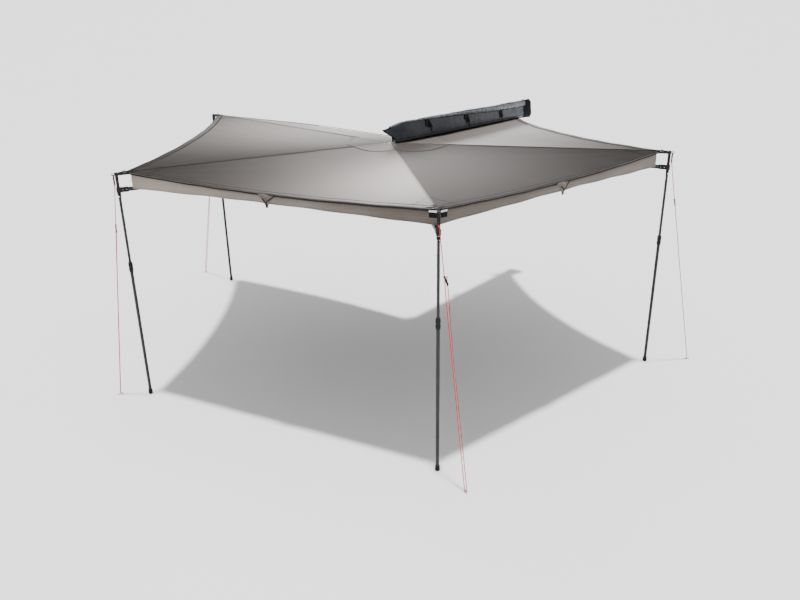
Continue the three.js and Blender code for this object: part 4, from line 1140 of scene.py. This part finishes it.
RAIL_FRONT = 0.022
RAIL_TOP = top_of("rail")
RAIL_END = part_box("rail")[1][0] - ORIGIN.x
CONTACT = 0.0003
BAG_OUTER = 0.100
BAG_LIFT = 0.009
BAG_HEIGHT = 0.183
BAG_END_RISE = 0.027
BAG_END_FLARE = 0.030
BAG_END_LENGTH = 0.180
BAG_END_DROP = 0.036
BAG_END_DROP_LENGTH = 0.05
BAG_BACK_HEIGHT = 0.064
BAG_BACK_INSET = 0.012
BAG_CORNER = 0.022
BAG_TIP_REACH = 0.140
BAG_NOSE_END = 0.100
BAG_NOSE_TUCK = 0.070
BAG_NOSE_DROP = 0.055
BAG_FLOOR_START = 0.070
BAG_CLOTH = 0.003
BAG_START_SHARES = (1, 1, 1, 1, 0.75, 0.7, 0.65, 0.4, 0)
WALL_SHARE = 0.62  # where its outer wall starts, as a share of its outline
BAG_BACK_SHARE = 0.14
PADDED_LENGTH = 0.130  # the black end
PADDED_SHARE = PADDED_LENGTH / (RAIL_END + BAG_TIP_REACH)
RIM_STEPS = 60
BAG_STEPS = 120
STRAPS = range(1, 4)
PIPING = 0.0042  # radius, also of the rear's binding
TOP_BINDING = 0.0040
LOW_BINDING = 0.0036  # of the back wall and the foot
FOOT_V = 0.60
LID_LINE = (0.013, 0.0028)
FOOT_LINE = (0.005, 0.0016)
FOOT_LINE_V = 0.775
STRAP_PATCH_REACH = (-0.040, 0.032)
STRAP_PATCH_SHARE = 0.115  # of the bag's outline
TAIL = (0.012, 0.0014)
BUCKLE = (0.034, 0.007, 0.034)
PRONG = (0.026, 0.006, 0.024)
BUCKLE_SLOT = (0.005, 0.0014, 0.020)
BOX_STITCH_HEIGHTS = (0.060, 0.076)
BOX_STITCH_REACH = 0.014
ALONG = Vector((1, 0, 0))
FORWARD = Vector((0, -1, 0))

# Where the black line runs along the outer wall, as shares of its height, at even steps along the bag
LINE_SHARES = (0.99, 0.98, 0.95, 0.90, 0.84, 0.78, 0.73, 0.70, 0.69, 0.70)


def bag_swell(x, length=BAG_END_LENGTH):
    return smooth((x - RAIL_END + length) / length)


def bag_nose(x):
    return 1 - smooth((x + BAG_TIP_REACH) / (BAG_NOSE_END + BAG_TIP_REACH))


def bag_bottom(x):
    return mix(APEX_HEIGHT, RAIL_CORNER[2], max(x, 0) / RAIL_CORNER[0]) + BAG_LIFT


def bag_top(x):
    height = BAG_HEIGHT + BAG_END_RISE * bag_swell(x) - BAG_NOSE_DROP * bag_nose(x)
    return bag_bottom(x) + height - BAG_END_DROP * bag_swell(x, BAG_END_DROP_LENGTH)


def bag_section(x):
    """The trough's outline at x, as (y, z) from the top of its back wall to the top of its outer wall."""
    back = RAIL_FRONT + BAG_BACK_INSET
    seat = RAIL_TOP + CONTACT
    outer = -BAG_OUTER - BAG_END_FLARE * bag_swell(x) + BAG_NOSE_TUCK * bag_nose(x)
    low, top, c = bag_bottom(x), bag_top(x), BAG_CORNER
    return [
        (back, seat + BAG_BACK_HEIGHT), (back, seat + c / 2), (back - c / 2, seat),
        (RAIL_FRONT - c / 2, seat), (outer + c, low), (outer + c / 4, low + c / 4),
        (outer, low + c), (outer, (low + top) / 2), (outer, top),
    ]


def curve_through(values, share):
    """A smooth curve through values, at a share of the way along them."""
    last = len(values) - 1
    place = share * last
    k = min(int(place), last - 1)
    t = place - k
    a, b, c, d = (values[min(max(k + i, 0), last)] for i in (-1, 0, 1, 2))
    return 0.5 * (2 * b + (c - a) * t + (2 * a - 5 * b + 4 * c - d) * t**2 + (3 * b - a - 3 * c + d) * t**3)


def bag_place(u, v):
    """The bag's outer face: u is 0 at its rear and 1 at its front, v 0 at its back wall and 1 at its top."""
    start = mix(-BAG_TIP_REACH, BAG_FLOOR_START, curve_through(BAG_START_SHARES, v))
    x = mix(start, RAIL_END, u)
    y, z = (curve_through(values, v) for values in zip(*bag_section(x)))
    wall = smooth((v - WALL_SHARE) / 0.15)
    crease = 0.006 * wrinkle(x * 4.5, v * 3.0, 1.7) + 0.0022 * wrinkle(x * 17, v * 9, 4.2)
    bulge = 0.010 * math.sin(math.pi * smooth((v - WALL_SHARE) / (1 - WALL_SHARE))) * smooth(u * 8)
    z += 0.004 * wrinkle(x * 2.2, 8.1, 0) * smooth((v - 0.9) / 0.1)
    return placed((x, y - (bulge + crease) * wall, z))


def bag_tone(point):
    """The wall is darker at the rear and lighter towards the front."""
    return mix(0.62, 1.25, smooth((point.x - ORIGIN.x) / RAIL_END))


def line_v(u):
    """The bag's v at the black line, which runs in the outer wall's upper half."""
    return 0.875 + (curve_through(LINE_SHARES, u) - 0.5) / 4


def bag_line(v, start=0.0, end=1.0, shift=(0, 0, 0)):
    return shifted([bag_place(u, v) for u in spread(BAG_STEPS, start, end)], Vector(shift))


def shell(name, at, columns, rows):
    """A closed sheet of the bag's cloth: the surface at(u, v), with its lining on the inside."""
    piece = grid(name, at, columns, rows, bag_cloth)
    piece.data.materials.append(lining)
    solid = piece.modifiers.new("thickness", "SOLIDIFY")
    solid.thickness = BAG_CLOTH
    solid.offset = -1
    solid.material_offset = 1
    return toned(piece, bag_tone)


def quilting(depth, pitch, a, b):
    """Crossed rows of quilting, by two coordinates."""
    return depth * abs(math.sin((a + b) * pitch) * math.sin((a - b) * pitch))


def bag_end_cap():
    """The black padded end that closes the front of the bag, with its bound rim and cross quilting."""
    rim = [bag_place(1, v) for v in spread(RIM_STEPS)]
    centre = sum(rim, Vector()) / len(rim)

    def face_at(s, t):
        point = centre.lerp(rim[min(int(s * RIM_STEPS), RIM_STEPS)], 1 - t)
        return point + ALONG * (-0.006 + 0.014 * (1 - (1 - t) ** 4) + quilting(0.0025, 120, point.y, point.z))

    def wrap_at(s, t):
        point = bag_place(mix(1 - PADDED_SHARE, 1, t), s)
        puff = 0.0014 + quilting(0.0022, 90, point.x, point.z) * smooth((s - 0.7) / 0.1)
        return point + FORWARD * puff - UP * (0.0006 if s < 0.6 else 0)

    face = grid("end_face", face_at, RIM_STEPS, 14, bag_end)
    wrap = grid("end_wrap", wrap_at, RIM_STEPS * 2, 24, bag_end)
    piping = tube("end_piping", shifted(rim, -ALONG * 0.002), PIPING, webbing, 8)
    return joined("bag_end", [face, wrap, piping])


def folded_lid():
    """The glossy lid, laid back over the wall's top edge from the black line, with its rim curled inside."""
    first, last = 0.035, 1 - 0.8 * PADDED_SHARE
    fold = 0.6  # where it reaches the top edge
    curl = math.radians(215)

    def at(u, v):
        along = mix(first, last, u)
        crinkle = wrinkle(u * 60, v * 3, 2.2) + 0.5 * wrinkle(u * 140, v * 5, 7.7)
        rise = min(v / fold, 1)
        point = bag_place(along, mix(line_v(along), 1, rise))
        point.y -= 0.003 + 0.006 * math.sin(math.pi * rise) * (1 + 0.5 * crinkle) + 0.0016 * crinkle
        if v > fold:
            turn = curl * (v - fold) / (1 - fold)
            reach = 0.012 + 0.004 * wrinkle(u * 23, v * 2, 5.1)
            point.y += reach * (1 - math.cos(turn))
            point.z += reach * math.sin(turn) + 0.001 * crinkle
        return point

    return grid("lid", at, 300, 40, lid_cloth)


def strap_patch(i):
    """The black cloth sewn to the wall behind a strap, with the strap's loose tail."""
    strap_x = middle(f"bag_strap_{i}").x - ORIGIN.x

    def at(s, t):
        along = (strap_x + mix(*STRAP_PATCH_REACH, s) + BAG_TIP_REACH) / (RAIL_END + BAG_TIP_REACH)
        upper = line_v(along) + 0.004
        return bag_place(along, mix(upper - STRAP_PATCH_SHARE, upper, t)) + FORWARD * 0.0016

    patch = grid(f"strap_patch_{i}", at, 12, 12, tab_black)
    steps = spread(6)
    rim = [at(s, 0) for s in steps] + [at(1, t) for t in steps[1:]]
    rim += [at(1 - s, 1) for s in steps[1:]] + [at(0, 1 - t) for t in steps[1:]]
    edge = tube("patch_rim", rim, 0.0011, webbing, 6)
    tail = [at(0.62, 0.1) + Vector((0.002 * j, -0.002 - 0.0012 * j, -0.011 * j)) for j in range(6)]
    return joined(f"patch_{i}", [patch, edge, ribbon("strap_tail", tail, ALONG, *TAIL, webbing)])


def strap(i):
    """A webbing tab over the bag's top edge, with a buckle on the outside and a stitched box."""
    low, high = (Vector(c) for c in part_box(f"bag_strap_{i}"))
    x = (low.x + high.x) / 2
    outer, inner, top = low.y + 0.0012, high.y - 0.0012, high.z - 0.0012
    bend = 0.004
    points = [Vector((x, outer, z)) for z in spread(8, low.z, top - bend)]
    points += [Vector((x, mix(outer, inner, t), top - bend * (2 * t - 1) ** 2)) for t in spread(5)[1:-1]]
    points += [Vector((x, inner, z)) for z in spread(6, top - bend, low.z + 0.034)]
    face = outer - 0.0016
    body = Vector((x, face - 0.003, low.z + 0.020))

    def block(name, offset, size, radius, material=plastic):
        return rounded_block(name, body + Vector(offset), (ALONG, FORWARD, UP), size, radius, material)

    pieces = [
        ribbon(f"strap_band_{i}", points, ALONG, high.x - low.x, 0.0022, webbing),
        block("buckle", (0, 0, 0), BUCKLE, 0.0028),
        block("prong", (0, 0, 0.025), PRONG, 0.0024),
    ]
    for aside in (-0.009, 0.009):
        pieces.append(block("slot", (aside, -0.0036, 0.002), BUCKLE_SLOT, 0.0006, rubber))
    for height in BOX_STITCH_HEIGHTS:
        ends = [(x + aside, face - 0.0002, low.z + height) for aside in (-BOX_STITCH_REACH, BOX_STITCH_REACH)]
        pieces.append(tube("box_stitch", evenly(*ends, 8), 0.0006, pale_thread_and_highlight, STITCH_SIDES))
    return joined(f"strap_{i}", pieces)


def make_bag():
    """The back wall stays on the rail in every pose, and so does the rest, each piece with a mesh of its own.
    """

    def back_place(u, v):
        return bag_place(u, v * BAG_BACK_SHARE)

    def body_place(u, v):
        return bag_place(u, mix(BAG_BACK_SHARE, 1, v))

    def press(piece):
        attach(piece, "root")
        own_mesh(piece)

    attach(shell("bag_back", back_place, BAG_STEPS, 10), "root")
    attach(tube("back_binding", bag_line(0.0), LOW_BINDING, webbing, 8), "root")
    body = shell("bag", body_place, 170, 48)
    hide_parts("storage_bag")
    for piece in (body, bag_end_cap(), folded_lid()):
        press(piece)
    lid_line = [bag_place(u, line_v(u)) + FORWARD * 0.0022 for u in spread(BAG_STEPS, 0.02, 0.96)]
    trims = [
        tube("top_binding", bag_line(1.0), TOP_BINDING, webbing, 10),
        tube("foot_binding", bag_line(FOOT_V, shift=(0, -0.002, -0.001)), LOW_BINDING, webbing, 8),
        tube("rear_binding", [bag_place(0, v) for v in spread(RIM_STEPS)], PIPING, webbing, 8),
        ribbon("lid_line", lid_line, UP, *LID_LINE, zip_tape),
        ribbon("foot_line", bag_line(FOOT_LINE_V, 0.02, 0.97, (0, -0.0012, 0)), UP, *FOOT_LINE, zip_tape),
    ]
    for piece in (*trims, *(strap_patch(i) for i in STRAPS)):
        press(piece)
    for i in STRAPS:
        piece = strap(i)
        press(piece)
        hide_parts(f"bag_strap_{i}")


make_bag()


# Small hardware on the rigid parts

RIVET = 0.0032
SADDLE_RIVET_RADIUS = 0.0028
CLEVIS_RIVET_RADIUS = 0.0026
KNUCKLE_RIVETS = (0.092, 0.108)  # from the king pin
KNUCKLE_WALL = 0.0103  # from the beam's axis
TIP_WALL = 0.0136
TIP_RIVETS = (TIP_RADIUS - 0.060, TIP_RADIUS - 0.030)
SADDLE_RIVET = 0.792
CLEVIS_RIVETS = (0.100, 0.135, 0.165)
CAP_PROFILE = [(0, 0.0128), (0.005, 0.0132), (0.0075, 0.0128), (0.0095, 0.0112), (0.0108, 0.007), (0.0112, 0)]
COLLAR_PROFILE = [(0, 0.0122), (0.0006, 0.0131), (0.004, 0.0131), (0.0046, 0.0122)]
GRIP_RADIUS = 0.0173
GRIP_RIBS = 20
FOOT_RINGS = ((0.022, 0.0187), (0.029, 0.0179), (0.036, 0.0171))  # height and radius
MARK_REACH = 0.01092  # from the leg's axis
MARK_COUNT = 5
MARK_START = 0.09  # above the twist lock
MARK_PITCH = 0.06
BRACKET_BOLT_SIDES = (-0.017, 0.017)
BRACKET_BOLT = 0.013
PIN_NUT = 0.024
MARK_PROFILE = [(0, 0.0024), (0.0001, 0.0022), (0.00015, 0)]


def bolt(name, base, axis, size):
    """A hexagon head on a washer. size is the width across its corners."""
    axis = Vector(axis).normalized()
    washer_profile = [(0, size * 0.62), (0.0012, size * 0.62), (0.0014, size * 0.58)]
    head_profile = [(0, size * 0.5), (size * 0.3, size * 0.5), (size * 0.36, size * 0.42)]
    washer = lathe(f"{name}_washer", base, axis, washer_profile, steel, 28)
    head = lathe(f"{name}_head", Vector(base) + axis * 0.0013, axis, head_profile, steel, 6)
    head.data.shade_flat()
    return [washer, head]


def rivet(name, base, axis, radius=RIVET):
    profile = [(0, radius), (radius * 0.3, radius * 0.92), (radius * 0.6, radius * 0.6), (radius * 0.72, 0)]
    return lathe(name, base, axis, profile, steel, 16)


def along_beam(k, out, aside, lift=0.0):
    """A place on arm k's beam: out along it from the king pin, aside to its left, lift above its axis."""
    level = top_of(f"arm_knuckle_{k}") - 0.0222
    tip = leg_hinges[f"leg_{k}"].z + 0.040
    return on_arm(k, out, aside, mix(level, tip, out / TIP_RADIUS) + lift)


def arm_hardware(k):
    pieces = []
    for places, wall in ((KNUCKLE_RIVETS, KNUCKLE_WALL), (TIP_RIVETS, TIP_WALL)):
        for out in places:
            for side in (-1, 1):
                pieces.append(rivet("rivet", along_beam(k, out, side * wall), leftwards(k) * side))
    for side in (-1, 1):
        place = along_beam(k, SADDLE_RIVET, side * 0.0130, 0.009)
        pieces.append(rivet("saddle_rivet", place, leftwards(k) * side, SADDLE_RIVET_RADIUS))
    attach(joined(f"arm_rivets_{k}", pieces), f"arm_{k}")
    top = top_of(f"tip_bracket_{k}")
    for name, drop, profile in (("post_cap", 0.006, CAP_PROFILE), ("post_collar", 0.048, COLLAR_PROFILE)):
        piece = lathe(f"{name}_{k}", on_arm(k, TIP_RADIUS, 0, top - drop), UP, profile, plastic)
        attach(piece, f"arm_{k}")


def leg_hardware(k):
    """Ribs round the twist lock, rings round the foot and height marks on the upper tube."""
    low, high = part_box(f"leg_twist_lock_{k}")
    centre = middle(f"leg_twist_lock_{k}")
    ribs = []
    for start, end in ((low[2] + 0.013, low[2] + 0.035), (low[2] + 0.049, high[2] - 0.013)):
        for i in range(GRIP_RIBS):
            turn = math.tau * i / GRIP_RIBS
            around = Vector((math.cos(turn), math.sin(turn), 0)) * GRIP_RADIUS
            ends = (Vector((centre.x, centre.y, z)) + around for z in (start, end))
            ribs.append(tube("rib", evenly(*ends, 3), RIB_RADII, plastic, 6))
    attach(joined(f"lock_grip_{k}", ribs), f"leg_lower_{k}")
    rings = []
    for height, radius in FOOT_RINGS:
        low_rim, high_rim = (0.0006, radius + 0.0007), (0.0028, radius + 0.0005)
        profile = [(0, radius - MM), low_rim, high_rim, (0.0034, radius - MM)]
        rings.append(lathe("ring", (centre.x, centre.y, ground + height), UP, profile, rubber))
    attach(joined(f"foot_rings_{k}", rings), f"leg_lower_{k}")
    marks = []
    for i in range(MARK_COUNT):
        place = Vector((centre.x, centre.y, high[2] + MARK_START + i * MARK_PITCH)) - outwards(k) * MARK_REACH
        marks.append(lathe("mark", place, -outwards(k), MARK_PROFILE, rubber, 12))
    attach(joined(f"tube_marks_{k}", marks), f"leg_{k}")


def rail_hardware():
    pieces = []
    for i in range(1, 4):
        low, high = (Vector(c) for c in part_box(f"rack_bracket_{i}"))
        for side in BRACKET_BOLT_SIDES:
            place = ((low.x + high.x) / 2 + side, low.y + 0.006, low.z + 0.039)
            pieces += bolt("bracket_bolt", place, (0, 1, 0), BRACKET_BOLT)
    web_face = ORIGIN.y + RAIL_FRONT - CONTACT - 0.009
    for out in CLEVIS_RIVETS:
        place = (ORIGIN.x + out, web_face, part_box("rail")[0][2] + 0.016)
        pieces.append(rivet("clevis_rivet", place, FORWARD, CLEVIS_RIVET_RADIUS))
    pieces += bolt("pin_nut", (ORIGIN.x, ORIGIN.y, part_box("king_pin")[0][2]), -UP, PIN_NUT)
    attach(joined("rail_bolts", pieces), "root")


def soft_shading():
    """A modifier group that shades gentle edges smooth and keeps sharp ones."""
    group = bpy.data.node_groups.new("soft_shading", "GeometryNodeTree")
    for way in ("INPUT", "OUTPUT"):
        group.interface.new_socket("Geometry", in_out=way, socket_type="NodeSocketGeometry")
    shape = output_of(group, "NodeGroupInput", 0)
    angle = output_of(group, "GeometryNodeInputMeshEdgeAngle", "Unsigned Angle")
    limits = {"A": angle, "B": math.radians(33)}
    gentle = output_of(group, "FunctionNodeCompare", "Result", limits, operation="LESS_THAN")
    kind = "GeometryNodeSetShadeSmooth"
    faces = output_of(group, kind, "Geometry", {"Geometry": shape}, domain="FACE")
    edges = output_of(group, kind, "Geometry", {"Geometry": faces, "Shade Smooth": gentle}, domain="EDGE")
    feed(group, group.nodes.new("NodeGroupOutput"), {0: edges})
    return group


NODE_LOOKS = {
    "rail": tube_metal["X"],
    "rail_cap": plastic,
    "rack_bracket": painted,
    "hub_clevis": painted,
    "king_pin": steel,
    "arm_knuckle": painted,
    "arm_beam": tube_metal["X"],
    "arm_rafter": tube_metal["X"],
    "tip_bracket": plastic,
    "leg_inner_tube": tube_metal["Z"],
    "leg_outer_tube": tube_metal["Z"],
    "leg_twist_lock": plastic,
    "leg_foot": rubber,
    "ground_peg": steel,
}


def dress_nodes():
    shading = soft_shading()
    for name, node in frame["nodes"].items():
        if node.hide_render:
            continue
        kind = max((k for k in NODE_LOOKS if name.startswith(k)), key=len)
        for slot in node.material_slots:
            slot.link = "OBJECT"
            slot.material = NODE_LOOKS[kind]
        bevel = node.modifiers.new("worn_edges", "BEVEL")
        bevel.width = 0.0006
        bevel.segments = 2
        bevel.limit_method = "ANGLE"
        bevel.angle_limit = math.radians(40)
        smoothing = node.modifiers.new("soft_shading", "NODES")
        smoothing.node_group = shading


for arm in ARMS:
    arm_hardware(arm)
    leg_hardware(arm)
rail_hardware()
dress_nodes()


# Floor and light

FLOOR_SIZE = 1500
FLOOR_COLOUR = (0.86, 0.86, 0.86)

# How bright the studio is, by the height of the direction looked in: dim walls under a bright ceiling
SKY = [(0, 0.6), (0.06, 0.2), (0.42, 0.16), (0.7, 0.95)]
BACKDROP = (2.3, 2.3, 2.3, 1)


def make_floor():
    look = Look("floor", 0.9)
    look.shader({"Base Color": look.mottled(FLOOR_COLOUR, 0.6, 2, (0.2, 0.99), (0.8, 1.01))})
    half = FLOOR_SIZE / 2
    corners = [(x * half, y * half, ground) for x, y in ((-1, -1), (1, -1), (1, 1), (-1, 1))]
    new_object("floor", corners, [(0, 1, 2, 3)], look.material)


def sunlight(name, azimuth, elevation, strength, spread_angle):
    """Light from far off. azimuth is turned from +X towards +Y; all angles are in degrees."""
    data = bpy.data.lights.new(name, "SUN")
    data.energy = strength
    data.angle = math.radians(spread_angle)
    level, turn = math.radians(elevation), math.radians(azimuth)
    towards = Vector((math.cos(turn) * math.cos(level), math.sin(turn) * math.cos(level), math.sin(level)))
    light = put(name, data)
    light.rotation_euler = towards.to_track_quat("Z", "Y").to_euler()
    light.location = placed(towards * 10)


def softbox(name, place, width, power):
    """A square lamp that shines straight down and that the camera doesn't see."""
    data = bpy.data.lights.new(name, "AREA")
    data.energy = power
    data.size = width
    light = put(name, data)
    light.location = placed(place)
    light.visible_camera = False


def make_world():
    world = bpy.data.worlds.new("studio")
    world.use_nodes = True
    tree = world.node_tree
    direction = output_of(tree, "ShaderNodeTexCoord", "Generated")
    height = output_of(tree, "ShaderNodeSeparateXYZ", "Z", {0: direction})
    camera_ray = output_of(tree, "ShaderNodeLightPath", "Is Camera Ray")
    colour = blend(tree, camera_ray, ramp(tree, height, SKY), BACKDROP)
    feed(tree, tree.nodes["Background"], {"Color": colour})
    bpy.context.scene.world = world


make_floor()
sunlight("overhead", 60, 90, 5.6, 3)
sunlight("behind", 38, 18, 0.9, 16)
softbox("key", (-1.25, -0.95, 2.9), 0.5, 36)
make_world()
